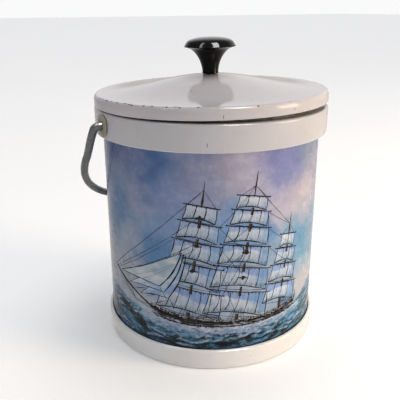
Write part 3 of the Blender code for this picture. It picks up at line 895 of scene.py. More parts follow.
    # bowsprit, with its dolphin striker and stays
    ink(SPRIT, 1.15, BROWN, 0.35, 0.08, 1)
    ink([(-88.8, 65.9), (-70.0, 56.2), (-46.0, 44.5)], 0.40, BLACK, 0.2, 0.08, 3)
    ink([(-66.5, 55.0), (-63.4, 46.4)], 0.55, BLACK, 0.3, 0.08, 2)
    for a in ((-86.5, 64.8), (-77.0, 60.0)):
        ink([a, (-63.6, 46.8)], 0.26, BLACK, 0.3, 0.05, 2)
    for b in ((-50.0, 45.0), (-46.6, 42.6)):
        ink([(-63.4, 46.6), b], 0.26, BLACK, 0.3, 0.05, 2)
    # stays
    top0, top1, top2 = MASTS[0][1], MASTS[1][1], MASTS[2][1]
    fore0 = (mast_at(0, 140), 140)
    main0 = (mast_at(1, 141.5), 141.5)
    tips = [(sl.tl, sl.tr) for sl in SAILS]
    miz0 = (mast_at(2, 107.5), 107.5)
    stays = [(SPRIT[0], fore0, 0.36), ((-86.4, 65.4), (mast_at(0, 121), 121), 0.30),
             ((-84.8, 64.6), tips[2][0], 0.28), (JIBS[0][0], (mast_at(0, 101), 101), 0.36),
             (JIBS[1][0], (mast_at(0, 97), 97), 0.26), (JIBS[2][0], (mast_at(0, 92), 92), 0.24),
             (fore0, tips[0][0], 0.30), (fore0, tips[0][1], 0.30), (main0, tips[5][0], 0.32),
             (main0, tips[5][1], 0.32), (miz0, tips[11][0], 0.26), (miz0, tips[11][1], 0.26),
             (tips[1][1], main0, 0.30), (tips[2][1], (mast_at(1, 112), 112), 0.26),
             (tips[1][1], (mast_at(1, 94), 94), 0.32), (tips[3][1], (mast_at(1, 94), 94), 0.30),
             (tips[2][1], (mast_at(1, 76), 76), 0.24), (tips[4][1], (mast_at(1, 92), 92), 0.30),
             (tips[3][1], (18.5, 44.5), 0.22), (tips[6][1], miz0, 0.26), (main0, miz0, 0.30),
             (tips[7][1], (mast_at(2, 94), 94), 0.24), (tips[8][1], (mast_at(2, 80), 80), 0.22),
             (miz0, (74.5, 44.8), 0.24), ((mast_at(2, 84), 84), (74.6, 44.2), 0.24),
             (tips[6][1], tips[8][1], 0.22), (tips[7][0], tips[8][0], 0.20)]
    for i, (a, b, w) in enumerate(stays):
        FRONT_OF[:] = jib_shapes if i in (4, 5) else []
        sag = np.array([0, -0.02 * np.linalg.norm(np.subtract(a, b))])
        ink([a, 0.5 * (np.asarray(a, float) + np.asarray(b, float)) + sag, b], w, (46, 42, 48), 0.2, 0.08, 0)
    # shrouds with ratlines, standing on the deck behind the courses
    FRONT_OF[:] = jib_shapes + sail_shapes
    for m, zt, spread, x_off in ((0, 62.5, (-9.5, 4.5), 0), (1, 60.0, (-9.0, 4.0), 0),
                                 (2, 58.0, (-4.5, 7.5), 0)):
        xt = mast_at(m, zt)
        feet = np.linspace(xt + spread[0], xt + spread[1], 6)
        zd = np.interp(feet, [p[0] for p in DECK], [p[1] for p in DECK]) + 0.4
        for fx, fz in zip(feet, zd):
            ink([(fx, fz), (xt, zt)], 0.24, BLACK, 0.3, 0.04, 2)
        for j in range(1, 7):
            t = j / 8
            p0 = (feet[0] + (xt - feet[0]) * t, zd[0] + (zt - zd[0]) * t)
            p1 = (feet[-1] + (xt - feet[-1]) * t, zd[-1] + (zt - zd[-1]) * t)
            ink([p0, p1], 0.16, (60, 56, 62), 0.3, 0.04, 2)
    for (a0, a1), (b0, b1) in (((17.0, 44.6), (20.6, 62.0)), ((20.5, 44.2), (20.8, 62.0)),
                               ((24.0, 43.8), (21.0, 62.0)), ((27.5, 43.2), (21.2, 62.0))):
        ink([(a0, a1), (b0, b1)], 0.26, BLACK, 0.3, 0.05, 2)
    # jibs, each one partly behind the one before it
    for order, tri in enumerate(JIBS):
        FRONT_OF[:] = jib_shapes[:order]
        o = jib_outline(tri)
        n = len(o) // 3
        ink(o[:n:3], 0.34, BLACK, 0.2, 0.08, 2)
        ink(o[n:2 * n:3], 0.80, BLACK, 0.3, 0.08, 2)
        ink(o[2 * n::3], 0.44, BLACK, 0.3, 0.08, 2)
        tack, head, clew = [np.asarray(p, float) for p in tri]
        for q in (0.35, 0.6):
            a = tack + (clew - tack) * q
            b = head + (clew - head) * (0.25 + 0.2 * q)
            ink([a + [0, 1.2], 0.5 * (a + b) + [0.6, 0], b], 0.16, (96, 104, 116), 0.6, 0.05, 2)
    FRONT_OF[:] = []
    for a, b in (((-61.0, 56.0), (-52.0, 58.4)), ((-50.0, 52.6), (-42.5, 55.6)), ((-38.0, 62.4), (-36.0, 59.0)),
                 ((-35.4, 58.4), (-33.0, 54.4)), ((-30.0, 54.6), (-27.0, 47.0)), ((-47.4, 46.4), (-31.0, 53.8))):
        ink([a, b], 0.36, BLACK, 0.3, 0.08, 2)
    # hull: rails, planking strokes, deck clutter
    deck = catmull(DECK, 90)
    water = catmull(WATER, 90)
    ink(DECK, 0.75, BLACK, 0.2, 0.12, 2)
    ink([(p[0], p[1] + 1.3) for p in DECK[1:]], 0.30, BLACK, 0.2, 0.15, 2)
    ink(WATER, 0.9, (34, 30, 32), 0.5, 0.2, 2)
    for t, w, c in ((0.25, 0.30, (12, 10, 12)), (0.42, 0.22, (104, 98, 96)), (0.62, 0.3, (12, 10, 12)),
                    (0.80, 0.20, (92, 88, 88))):
        pts = deck + (water - deck) * t
        for a, b in ((2, 22), (24, 44), (48, 66), (68, 86)):
            ink(pts[a:b:5], w, c, 0.5, 0.10, 3)
    for i in range(150):
        j = ink_rng.integers(2, 88)
        p = deck[j]
        h = ink_rng.uniform(0.8, 3.2)
        ink([p, p + np.array([ink_rng.normal(0, 0.6), h])], ink_rng.uniform(0.18, 0.42), BLACK, 0.5, 0.08, 2)
    for i in range(70):       # scribbled planking on the dark side
        j = ink_rng.integers(1, 88)
        p = deck[j] + (water[j] - deck[j]) * ink_rng.uniform(0.1, 0.95)
        ink([p, p + np.array([ink_rng.uniform(1.5, 5.0), ink_rng.normal(-0.2, 0.35)])], ink_rng.uniform(0.3, 0.7),
            (14, 12, 14), 0.7, 0.15, 3)
    for i in range(26):
        j = ink_rng.integers(6, 86)
        p = deck[j] + np.array([0, ink_rng.uniform(0.3, 1.6)])
        blot(p[0], p[1], ink_rng.uniform(0.4, 1.2), ink_rng.uniform(0.25, 0.6), (44, 36, 34))
    for i in range(70):       # pale dashes on the deck houses and rails
        j = ink_rng.integers(6, 86)
        p = deck[j] + np.array([0, ink_rng.uniform(-0.2, 1.6)])
        ink([p, p + np.array([ink_rng.uniform(0.6, 1.6), 0.0])], 0.28, (190, 190, 192), 0.4, 0.05, 3)
    # upturned boat on the foredeck and a raised poop rail
    ink([(-11, 41.5), (-7, 44.2), (0, 45.2), (6, 43.6), (8.5, 40.4)], 0.5, BLACK, 0.3, 0.08, 2)
    ink([(-11, 41.5), (-4, 42.6), (3, 42.4), (8.5, 40.4)], 0.4, BLACK, 0.3, 0.08, 2)
    ink([(-9, 42.8), (-2, 43.9), (6, 42.6)], 0.22, BLACK, 0.3, 0.08, 2)
    for i in range(9):
        x = -8.5 + i * 1.8
        ink([(x, 41.4), (x + 0.2, 43.4)], 0.2, BLACK, 0.3, 0.05, 2)
    ink([(55.5, 42.2), (64, 43.4), (74.2, 46.2)], 0.5, BLACK, 0.2, 0.08, 2)
    ink([(74.2, 46.2), (72.6, 42.8), (70.8, 38.6)], 0.7, BLACK, 0.2, 0.08, 2)
    for i in range(11):
        x = 56 + i * 1.65
        ink([(x, 40.6 + 0.012 * (x - 56) ** 2 * 0.6), (x + 0.1, 42.4 + 0.010 * (x - 56) ** 2)], 0.24, BLACK,
            0.3, 0.05, 2)
    # dark strokes where the hull meets the water, and crest lines further out
    for i in range(60):
        j = ink_rng.integers(0, 90)
        p = water[j] + np.array([ink_rng.normal(0, 1.5), -abs(ink_rng.normal(0.2, 0.6))])
        ink([p, p + np.array([ink_rng.uniform(1.5, 4), ink_rng.normal(0, 0.4)])], 0.42,
            (44, 40, 46), 0.7, 0.12, 2)
    for i in range(150):
        s = ink_rng.uniform(S0, S0 + PERIOD)
        h = float(horizon(s))
        z = h - ink_rng.uniform(1.5, h - Z_LOW - 2)
        L = ink_rng.uniform(2, 7)
        tilt = (-0.2 if s < -50 else 0.2 if s > 55 else 0.0) + ink_rng.normal(0, 0.12)
        c = [(40, 56, 62), (52, 76, 84), (34, 44, 52)][ink_rng.integers(3)]
        ink([(s, z), (s + L / 2, z + L / 2 * tilt + ink_rng.normal(0, 0.5)), (s + L, z + L * tilt)],
            0.34, c, 0.85, 0.15, 0)


# ---- put the painting on the sleeve ------------------------------------------
def build_sleeve(mat):
    img = paint_sky()
    tone = np.interp(wrapped(GS), [-133, -92, -60, -30, 0, 30, 60, 92, 133],
                     [0.86, 0.82, 0.86, 0.97, 0.95, 0.98, 0.93, 0.84, 0.86])
    img *= (tone ** 0.5)[..., None]
    img = paint_sea(img)
    under = np.clip((horizon(GS) - GZ) / 2.0, 0, 1)[..., None]
    lift = 16 * np.clip((wrapped(GS) - 40) / 35, 0, 1)[..., None] * np.array([0.6, 1.0, 1.0])
    rolled = np.clip(128 + (img - 128) * 1.22 - 20 + lift, 8, 250)
    img += (rolled - img) * under
    img = paint_ship(img)
    n_around = 804
    n_rows = 232
    s = np.arange(n_around) * CIRC / n_around
    z_vis = np.linspace(Z_LOW, Z_HIGH, n_rows)
    z_all = np.concatenate([[1.4, 8.0], z_vis, [169.6]])
    rows = len(z_all)
    SS, ZZ = np.meshgrid(s, z_all)
    # lap seam, a quarter of the way round from each picture's middle
    seam = CIRC * 0.25
    d = (SS - seam + CIRC / 2) % CIRC - CIRC / 2
    lap = np.where(d < 0, np.clip(1 + d / 9.0, 0, 1) ** 2, np.clip(1 - d / 0.9, 0, 1))
    rr = R - 0.10 + 0.22 * lap
    outer = on_sleeve(SS, ZZ, rr).reshape(-1, 3)
    inner0 = on_sleeve(s, np.full(n_around, 1.4), R - 0.6)
    inner1 = on_sleeve(s, np.full(n_around, 169.6), R - 0.6)
    verts = np.concatenate([outer, inner0, inner1])
    idx = np.arange(rows * n_around).reshape(rows, n_around)
    a = idx[:-1]
    b = idx[1:]
    quads = np.stack([a, np.roll(a, -1, 1), np.roll(b, -1, 1), b], -1).reshape(-1, 4)
    i0 = rows * n_around + np.arange(n_around)
    i1 = i0 + n_around
    bottom = np.stack([np.roll(idx[0], -1), idx[0], i0, np.roll(i0, -1)], -1)
    top = np.stack([idx[-1], np.roll(idx[-1], -1), np.roll(i1, -1), i1], -1)
    back = np.stack([np.roll(i0, -1), i0, i1, np.roll(i1, -1)], -1)
    faces = np.concatenate([quads, bottom, top, back])
    me = bpy.data.meshes.new("sleeve_printed")
    me.vertices.add(len(verts))
    me.vertices.foreach_set("co", verts.ravel())
    me.loops.add(len(faces) * 4)
    me.loops.foreach_set("vertex_index", faces.ravel())
    me.polygons.add(len(faces))
    me.polygons.foreach_set("loop_start", np.arange(len(faces)) * 4)
    me.update()
    me.validate()
    me.shade_smooth()
    me.set_sharp_from_angle(angle=math.radians(50))
    # colours at the vertices
    col = np.zeros((len(verts), 4), np.float32)
    col[:, 3] = 1
    fs = (((SS - S0) % PERIOD) / DS - 0.5)
    fz = np.clip((ZZ - Z_LOW) / DZ, 0, ROWS - 1.001)
    c0 = np.floor(fs).astype(int)
    tx = (fs - c0)[..., None]
    r0 = np.floor(fz).astype(int)
    ty = (fz - r0)[..., None]
    c0 %= COLS
    c1 = (c0 + 1) % COLS
    soft = (img + np.roll(img, 1, 1) + np.roll(img, -1, 1)) / 3.0
    px = ((soft[r0, c0] * (1 - tx) + soft[r0, c1] * tx) * (1 - ty)
          + (soft[r0 + 1, c0] * (1 - tx) + soft[r0 + 1, c1] * tx) * ty)
    col[:rows * n_around, :3] = lin(np.clip(px, 0, 255)).reshape(-1, 3)
    col[rows * n_around:, :3] = lin((150, 150, 148))
    att = me.color_attributes.new("paint", "FLOAT_COLOR", "POINT")
    att.data.foreach_set("color", col.ravel())
    # unwrap: the sleeve in three stacked strips, so that a baked picture is sharp
    uv = me.uv_layers.new(name="OFBake")
    vi = np.empty(len(me.loops), np.int64)
    me.loops.foreach_get("vertex_index", vi)
    ls = np.empty(len(me.polygons), np.int64)
    me.polygons.foreach_get("loop_start", ls)
    nf = len(me.polygons)
    fv = vi.reshape(nf, 4)
    sv = np.concatenate([SS.ravel(), s, s])
    zv = np.concatenate([ZZ.ravel(), np.full(n_around, 1.4), np.full(n_around, 169.6)])
    f_s = sv[fv]
    wrap = (f_s.max(1) - f_s.min(1)) > CIRC / 2
    f_s[wrap] = np.where(f_s[wrap] < CIRC / 2, f_s[wrap] + CIRC, f_s[wrap])
    mid = f_s.mean(1)
    strips = 3
    strip = np.clip((mid / (CIRC / strips)).astype(int), 0, strips - 1)
    u = (f_s - strip[:, None] * CIRC / strips) / (CIRC / strips)
    v = (zv[fv] - 1.4) / 168.2
    hid = (fv >= rows * n_around).any(1)
    U = 0.004 + 0.992 * u
    V = (strip[:, None] + 0.012 + 0.976 * v) * (0.96 / strips)
    U[hid] = 0.004 + 0.992 * u[hid]
    V[hid] = 0.965 + 0.03 * v[hid]
    data = np.stack([U.ravel(), V.ravel()], 1).ravel()
    uv.data.foreach_set("uv", data)
    me.materials.append(mat)
    ob = bpy.data.objects.new("sleeve_printed", me)
    bpy.context.scene.collection.objects.link(ob)
    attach(ob, "bucket")
    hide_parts("body_sleeve")
    return ob


def build_ink(mat):
    draw_ship()
    v = np.array(INK["v"])
    cols = lin(np.array(INK["c"], float))
    verts, faces, colours, normals = [], [], [], []
    for copy in range(2):
        s = v[:, 0] + copy * PERIOD
        z = np.clip(v[:, 1], Z_LOW + 1.2, Z_HIGH - 1.0)
        p = on_sleeve(s, z, R - 0.10 + v[:, 2])
        base = len(verts) and copy * len(v)
        verts.append(p)
        a = s / R
        nx = np.cos(a) * FRONT[0] + np.sin(a) * SIDE[0]
        ny = np.cos(a) * FRONT[1] + np.sin(a) * SIDE[1]
        normals.append(np.stack([nx, ny, 0 * nx], -1))
        colours.append(cols)
        faces += [tuple(i + copy * len(v) for i in f) for f in INK["f"]]
    verts = np.concatenate(verts)
    normals = np.concatenate(normals)
    colours = np.concatenate(colours)
    ob = mesh_object("sleeve_ink_lines", verts, faces, mat, "bucket", sharp=0)
    me = ob.data
    # all faces look outwards
    fl = []
    for p in me.polygons:
        nv = normals[p.vertices[0]]
        if p.normal.x * nv[0] + p.normal.y * nv[1] < 0:
            fl.append(p.index)
    bm = bmesh.new()
    bm.from_mesh(me)
    bm.faces.ensure_lookup_table()
    bmesh.ops.reverse_faces(bm, faces=[bm.faces[i] for i in fl])
    bm.to_mesh(me)
    bm.free()
    att = me.color_attributes.new("paint", "FLOAT_COLOR", "POINT")
    c4 = np.ones((len(colours), 4), np.float32)
    c4[:, :3] = colours
    att.data.foreach_set("color", c4.ravel())
    me.normals_split_custom_set_from_vertices([tuple(n) for n in normals])
    return ob


# ---- materials ---------------------------------------------------------------
def print_material(name, washes):
    m = Nodes(name)
    attr = m.node("ShaderNodeVertexColor", layer_name="paint")
    col = attr.outputs["Color"]
    if washes:
        fine = m.noise(900, 3, 0.6)
        col = m.mix(0.12, col, m.ramp(fine, [(0.3, (0.55, 0.55, 0.58)), (0.7, (1, 1, 1))]), "MULTIPLY")
        pool = m.noise(120, 4, 0.6, distortion=0.4)
        col = m.mix(0.12, col, m.ramp(pool, [(0.35, (0.6, 0.62, 0.68)), (0.65, (1, 1, 1))]), "MULTIPLY")
    # hairline scuffs in the lacquer, mostly upright
    sc = m.coords((260, 260, 14))
    scr = m.voronoi(1.0, sc, "DISTANCE_TO_EDGE")
    mask = m.step(m.noise(26, 3, 0.5), 0.62, 0.72)
    line = m.math("MULTIPLY", m.step(scr, 0.0, 0.035, 1.0, 0.0), mask)
    col = m.mix(m.math("MULTIPLY", line, 0.14), col, rgb((196, 204, 214)))
    # small rust or dirt specks
    sp = m.voronoi(140)
    speck = m.math("MULTIPLY", m.step(sp, 0.05, 0.09, 1.0, 0.0), m.step(m.noise(18, 2), 0.6, 0.68))
    col = m.mix(m.math("MULTIPLY", speck, 0.8), col, rgb((60, 48, 42)))
    m.link(col, m.b.inputs["Base Color"])
    rough = m.math("ADD", m.step(m.noise(60, 4), 0.3, 0.75, 0.20, 0.34), m.math("MULTIPLY", line, 0.25))
    m.link(rough, m.b.inputs["Roughness"])
    m.set(IOR=1.42, Coat_Weight=0.08, Coat_Roughness=0.12, Metallic=0.0)
    m.bump(m.noise(55, 3, 0.5), 0.10, 0.0004)
    return m.mat


def enamel(name, colour, warm, rough=0.16, dirt=0.5, dent=0.12):
    """White stoving enamel on tin: faint orange peel, yellowing, fine dirt."""
    m = Nodes(name)
    base = m.mix(m.step(m.noise(16, 4, 0.6), 0.35, 0.7), rgb(colour), rgb(warm))
    cloud = m.noise(70, 4, 0.6)
    base = m.mix(m.step(cloud, 0.55, 0.8, 0.0, 0.22), base, rgb([c * 0.86 for c in warm]))
    sp = m.voronoi(230)
    where = m.step(m.noise(34, 3, 0.6), 0.57, 0.70)
    speck = m.math("MULTIPLY", m.step(sp, 0.045, 0.085, 1.0, 0.0), where)
    base = m.mix(m.math("MULTIPLY", speck, 0.75 * dirt), base, rgb((84, 76, 70)))
    scr = m.voronoi(1.0, m.coords((60, 60, 420)), "DISTANCE_TO_EDGE")
    hair = m.math("MULTIPLY", m.step(scr, 0.0, 0.02, 1.0, 0.0), m.step(m.noise(22, 3), 0.58, 0.7))
    base = m.mix(m.math("MULTIPLY", hair, 0.12 * dirt), base, rgb((120, 112, 104)))
    m.link(base, m.b.inputs["Base Color"])
    r = m.math("ADD", m.step(m.noise(40, 5, 0.6), 0.3, 0.75, rough * 0.8, rough * 1.5),
               m.math("MULTIPLY", hair, 0.15))
    m.link(r, m.b.inputs["Roughness"])
    m.set(IOR=1.5, Coat_Weight=0.2, Coat_Roughness=0.08)
    h = m.math("ADD", m.math("MULTIPLY", m.noise(420, 2, 0.5), 0.25), m.noise(30, 2, 0.4))
    m.bump(h, dent, 0.0006)
    return m.mat


def plastic(name, colour, dark, rough, bump=0.06, scale=300, sss=0.0, stain=0.4, rim=None):
    m = Nodes(name)
    base = m.mix(m.step(m.noise(30, 4, 0.6), 0.35, 0.7), rgb(colour), rgb(dark))
    if rim is not None:          # painted shade: the outer edge is darkened where it sits in the dark gap under the lid
        x, y, z = m.sep()
        rad = m.math("SQRT", m.math("ADD", m.math("MULTIPLY", x, x), m.math("MULTIPLY", y, y)))
        edge = m.step(rad, rim - 0.0012, rim + 0.0006)
        broken = m.step(m.noise(160, 3, 0.6), 0.2, 0.6, 0.82, 0.96)
        base = m.mix(m.math("MULTIPLY", edge, broken), base, rgb((52, 45, 38)))
    spot = m.step(m.noise(140, 4, 0.65), 0.60, 0.75, 0.0, stain)
    base = m.mix(spot, base, rgb([c * 0.78 for c in dark]))
    m.link(base, m.b.inputs["Base Color"])
    m.link(m.step(m.noise(90, 4), 0.3, 0.7, rough * 0.8, rough * 1.3), m.b.inputs["Roughness"])
    m.set(IOR=1.49, Subsurface_Weight=sss)
    m.bump(m.noise(scale, 3, 0.6), bump, 0.0004)
    return m.mat


def steel(name, colour, dark, rough, stretch, stain=0.5):
    m = Nodes(name)
    brush = m.noise(1.0, 4, 0.6, m.coords(stretch))
    tarn = m.noise(55, 5, 0.65)
    base = m.mix(m.step(brush, 0.3, 0.7), rgb(colour), rgb([c * 0.82 for c in colour]))
    base = m.mix(m.step(tarn, 0.52, 0.72, 0.0, stain), base, rgb(dark))
    pit = m.math("MULTIPLY", m.step(m.voronoi(420), 0.03, 0.1, 1.0, 0.0), m.step(m.noise(70, 2), 0.52, 0.62))
    base = m.mix(m.math("MULTIPLY", pit, 0.8), base, rgb([c * 0.45 for c in dark]))
    m.link(base, m.b.inputs["Base Color"])
    r = m.math("ADD", m.step(brush, 0.3, 0.7, rough * 0.75, rough * 1.25),
               m.step(tarn, 0.5, 0.75, 0.0, 0.22))
    m.link(r, m.b.inputs["Roughness"])
    m.set(Metallic=1.0)
    h = m.math("SUBTRACT", m.math("MULTIPLY", brush, 0.5), pit)
    m.bump(h, 0.12, 0.0002)
    return m.mat


MAT = {}
MAT["print"] = print_material("printed_tin", True)
MAT["ink"] = print_material("print_ink", False)
# one white enamel in three colours: the base cap painted lighter, as painted light from the floor's bounce, and the
# collar bands and lid greyer, as painted shade
MAT["enamel"] = enamel("white_enamel_bands", (191, 191, 197), (194, 190, 190), 0.15, 0.6)
MAT["enamel_base"] = enamel("white_enamel_base_cap", (237, 236, 237), (237, 232, 228), 0.17, 0.6)
MAT["enamel_lid"] = enamel("white_enamel_lid_top", (192, 190, 195), (196, 190, 190), 0.09, 0.5, 0.07)
MAT["tub"] = plastic("tub_polystyrene", (236, 232, 220), (228, 220, 200), 0.24, 0.05, 240, 0.0, 0.15, 0.0828)
MAT["liner"] = plastic("lid_liner_polystyrene", (234, 230, 218), (224, 214, 194), 0.30, 0.05, 240, 0.0, 0.2, 0.0828)
MAT["vinyl"] = plastic("gasket_vinyl", (206, 200, 186), (186, 176, 156), 0.45, 0.2, 500, 0.0, 0.4, 0.0815)


def bushing_material():
    m = Nodes("bushing_yellowed")
    base = m.mix(m.step(m.noise(90, 4, 0.6), 0.35, 0.7), rgb((166, 161, 146)), rgb((150, 142, 118)))
    base = m.mix(m.step(m.noise(420, 4, 0.7), 0.55, 0.75, 0.0, 0.4), base, rgb((138, 124, 94)))
    # brown darkening along the flange edge that meets the collar
    x, y, z = m.sep()
    ax = m.math("ABSOLUTE", x)
    collar_edge_band = m.step(ax, 0.0906, 0.0916, 1.0, 0.0)
    broken = m.step(m.noise(380, 4, 0.6), 0.30, 0.52)
    base = m.mix(m.math("MULTIPLY", m.math("MULTIPLY", collar_edge_band, broken), 0.85), base, rgb((92, 70, 32)))
    m.link(base, m.b.inputs["Base Color"])
    m.link(m.step(m.noise(200, 3), 0.3, 0.7, 0.32, 0.5), m.b.inputs["Roughness"])
    m.set(IOR=1.49, Subsurface_Weight=0.04)
    m.bump(m.noise(700, 3, 0.6), 0.15, 0.0002)
    return m.mat


def phenolic_material():
    m = Nodes("knob_phenolic")
    base = m.mix(m.step(m.noise(120, 4, 0.6), 0.4, 0.7), rgb((11, 11, 11)), rgb((17, 16, 15)))
    dust = m.math("MULTIPLY", m.step(m.voronoi(520), 0.03, 0.08, 1.0, 0.0), m.step(m.noise(60, 3), 0.5, 0.66))
    base = m.mix(m.math("MULTIPLY", dust, 0.35), base, rgb((92, 90, 88)))
    m.link(base, m.b.inputs["Base Color"])
    smear = m.noise(70, 4, 0.6, distortion=0.6)
    r = m.math("ADD", m.step(smear, 0.42, 0.75, 0.06, 0.16), m.math("MULTIPLY", dust, 0.3))
    m.link(r, m.b.inputs["Roughness"])
    m.set(IOR=1.5, Specular_IOR_Level=0.30)
    m.bump(m.noise(160, 3, 0.5), 0.018, 0.0003)
    return m.mat


def foam_material():
    m = Nodes("foam_beads")
    cell = m.voronoi(420, feature="F1")
    base = m.mix(m.step(cell, 0.25, 0.6), rgb((238, 238, 234)), rgb((214, 212, 204)))
    m.link(base, m.b.inputs["Base Color"])
    m.link(m.step(m.noise(200, 3), 0.3, 0.7, 0.75, 0.92), m.b.inputs["Roughness"])
    m.bump(cell, 0.5, 0.0004)
    return m.mat


def brass_material():
    m = Nodes("insert_brass")
    base = m.mix(m.step(m.noise(300, 4), 0.4, 0.7), rgb((202, 168, 96)), rgb((150, 116, 62)))
    m.link(base, m.b.inputs["Base Color"])
    m.link(m.step(m.noise(500, 3), 0.3, 0.7, 0.26, 0.44), m.b.inputs["Roughness"])
    m.set(Metallic=1.0)
    m.bump(m.wave(1400, 0.4, m.coords()), 0.2, 0.0002)
    return m.mat


def fibre_material():
    m = Nodes("washer_fibre")
    n = m.noise(1.0, 5, 0.7, m.coords((900, 500, 500)))
    base = m.mix(m.step(n, 0.35, 0.65), rgb((112, 60, 44)), rgb((72, 38, 30)))
    m.link(base, m.b.inputs["Base Color"])
    m.link(m.step(n, 0.3, 0.7, 0.62, 0.85), m.b.inputs["Roughness"])
    m.bump(n, 0.3, 0.0002)
    return m.mat


MAT["bushing"] = bushing_material()
MAT["knob"] = phenolic_material()
MAT["foam"] = foam_material()
MAT["brass"] = brass_material()
MAT["fibre"] = fibre_material()
MAT["wire"] = steel("bail_wire_steel", (158, 159, 157), (96, 93, 84), 0.32, (260, 260, 260), 0.55)
MAT["spring"] = steel("push_nut_steel", (136, 136, 138), (84, 76, 66), 0.35, (500, 60, 500), 0.6)
MAT["screw"] = steel("screw_zinc", (178, 178, 176), (120, 116, 104), 0.30, (300, 300, 900), 0.5)

for key, values in (("wire", {"Metallic": 0.78}), ("enamel_lid", {"IOR": 1.32, "Coat Weight": 0.03}),
                    ("enamel", {"IOR": 1.42, "Coat Weight": 0.06}), ("knob", {"IOR": 1.38})):
    for k, v in values.items():
        MAT[key].node_tree.nodes["Principled BSDF"].inputs[k].default_value = v

# ---- bucket ------------------------------------------------------------------
build_sleeve(MAT["print"])
build_ink(MAT["ink"])

# top collar
t = 0.8
collar_profile = (arc(90.3 - 1.3, 166.2 + 1.3, 1.3, -90, 0, 10) + [(90.3, 176.0)] +
                  arc(90.3 - 1.8, 185.6 - 1.8, 1.8, 0, 90, 12) +
                  [(80.0, 185.6), (78.0, 185.6), (78.0, 184.8), (88.3, 184.8)] +
                  arc(88.5, 184.8 - 1.0, 1.0, 80, 0, 4) + [(89.5, 168.2)] +
                  arc(88.5, 168.0, 1.0, 0, -90, 4) +
                  [(85.8, 167.0), (85.8, 169.5), (85.0, 169.5), (85.0, 167.0)] +
                  arc(85.8, 167.0, 0.8, 180, 270, 4))
collar = turned("collar_band", collar_profile, 288, MAT["enamel"], "bucket",
                ("top_collar",), sharp=50)
for sx in (-1, 1):
    v, f = lathe([(0, -12), (5.0, -12), (5.0, 12), (0, 12)], 48,
                 Matrix.Translation((sx * 0.090, 0, PIVOT_Z * MM)) @ Matrix.Rotation(math.pi / 2, 4, "Y"))
    cut(collar, v, f)
collar.data.shade_smooth()
collar.data.set_sharp_from_angle(angle=math.radians(50))

# base cap, with a soft bead where its top edge turns in
base_profile = ([(0, 0), (60, 0)] + arc(86.9 - 1.4, 1.4, 1.4, -90, 0, 10) +
                [(87.25, 7.0)] + arc(87.5 - 1.6, 15.9 - 1.6, 1.6, 0, 78, 10) +
                [(85.4, 15.95)] + arc(85.5, 15.5, 0.5, 100, 180, 5) +
                [(85.0, 15.2), (86.2, 15.1)] + [(86.75, 14.0), (86.2, 1.4), (85.6, 0.7), (0, 0.7)])
turned("base_band", base_profile, 288, MAT["enamel_base"], "bucket", ("base_cap",), sharp=50)

# tub
draft = (72.0 - 68.5) / (187.2 - 15.5)
inside = lambda z: 68.5 + draft * (z - 15.5)
tub_profile = ([(0, 13.8), (62.0, 13.8)] + arc(65.2, 18.7, 4.9, -85, -3, 8) +
               [(inside(60) + 1.7, 60), (inside(185.9) + 1.7, 185.9), (85.0, 185.9)] +
               arc(84.8, 186.55, 0.62, -80, 80, 8) + [(84.6, 187.2), (73.6, 187.2)] +
               arc(inside(186) + 1.2, 186.0, 1.2, 90, 180, 8) +
               [(inside(150), 150), (inside(100), 100), (inside(50), 50)] +
               arc(65.6, 18.5, 3.0, 0, -90, 10) +
               [(60, 15.5), (58.6, 15.25), (57.2, 15.5), (0, 15.5)])
turned("tub_moulding", tub_profile, 224, MAT["tub"], "bucket", ("ice_liner",), sharp=50)

# bushings: flange with a rolled edge, a low boss round the bore
for side, sx in (("left", -1), ("right", 1)):
    prof = ([(3.35, 86.5), (4.6, 86.5), (4.6, 90.62), (7.6, 90.62)] +
            arc(7.55, 91.1, 0.45, -70, 70, 6) + [(6.9, 91.75), (5.6, 91.9)] +
            [(5.0, 92.05), (4.3, 92.12), (3.6, 92.1), (3.35, 91.9)])
    m = Matrix.Translation((0, 0, PIVOT_Z * MM)) @ Matrix.Rotation(math.pi / 2 * sx, 4, "Y")
    turned("bushing_flange_" + side, prof, 96, MAT["bushing"], "bucket",
           ("bail_bushing_" + side,), matrix=m, sharp=40)


# ---- bail --------------------------------------------------------------------
def bail_line():
    leg, bend, waist, a0, crown, pw = 96.5, 4.4, 94.0, 40.0, 125.0, 2.2
    pts = [(82.6, 0.0), (86.0, 0.0), (89.5, 0.0)]
    for i in range(13):
        a = math.radians(7.5 * i)
        pts.append((leg - bend + bend * math.sin(a), bend * (1 - math.cos(a))))
    for w in np.linspace(8, 38, 11):
        f = (w - bend) / (a0 - bend)
        pts.append((leg + (waist - leg) * f * f * (2 - f), w))
    for i in range(0, 71):
        a = math.pi / 2 * (1 - i / 70)
        e = 2 / pw
        pts.append((waist * max(math.sin(a), 0.0) ** e, a0 + (crown - a0) * max(math.cos(a), 0.0) ** e))
    return pts


REST = math.radians(44.7)
half = bail_line()
path = half + [(-x, w) for x, w in reversed(half[:-1])]
keep = [path[0]]
for p in path[1:]:
    if math.hypot(p[0] - keep[-1][0], p[1] - keep[-1][1]) > 0.35:
        keep.append(p)
path = np.array([(x, w * math.sin(REST), PIVOT_Z - w * math.cos(REST)) for x, w in keep])
# normal of the bail's plane, and frames along the wire
plane_n = np.array([0, math.cos(REST), math.sin(REST)])
tan = np.gradient(path, axis=0)
tan /= np.linalg.norm(tan, axis=1)[:, None]
SIDES = 32
verts, faces = [], []
npath = len(path)
for i, (p, tg) in enumerate(zip(path, tan)):
    side = np.cross(tg, plane_n)
    side /= np.linalg.norm(side)
    ends = [(0.0, 1.0)]
    for k in range(SIDES):
        a = 2 * math.pi * k / SIDES
        verts.append((p + 3.0 * (math.cos(a) * plane_n + math.sin(a) * side)) * MM)
for i in range(npath - 1):
    for k in range(SIDES):
        k2 = (k + 1) % SIDES
        faces.append((i * SIDES + k, i * SIDES + k2, (i + 1) * SIDES + k2, (i + 1) * SIDES + k))
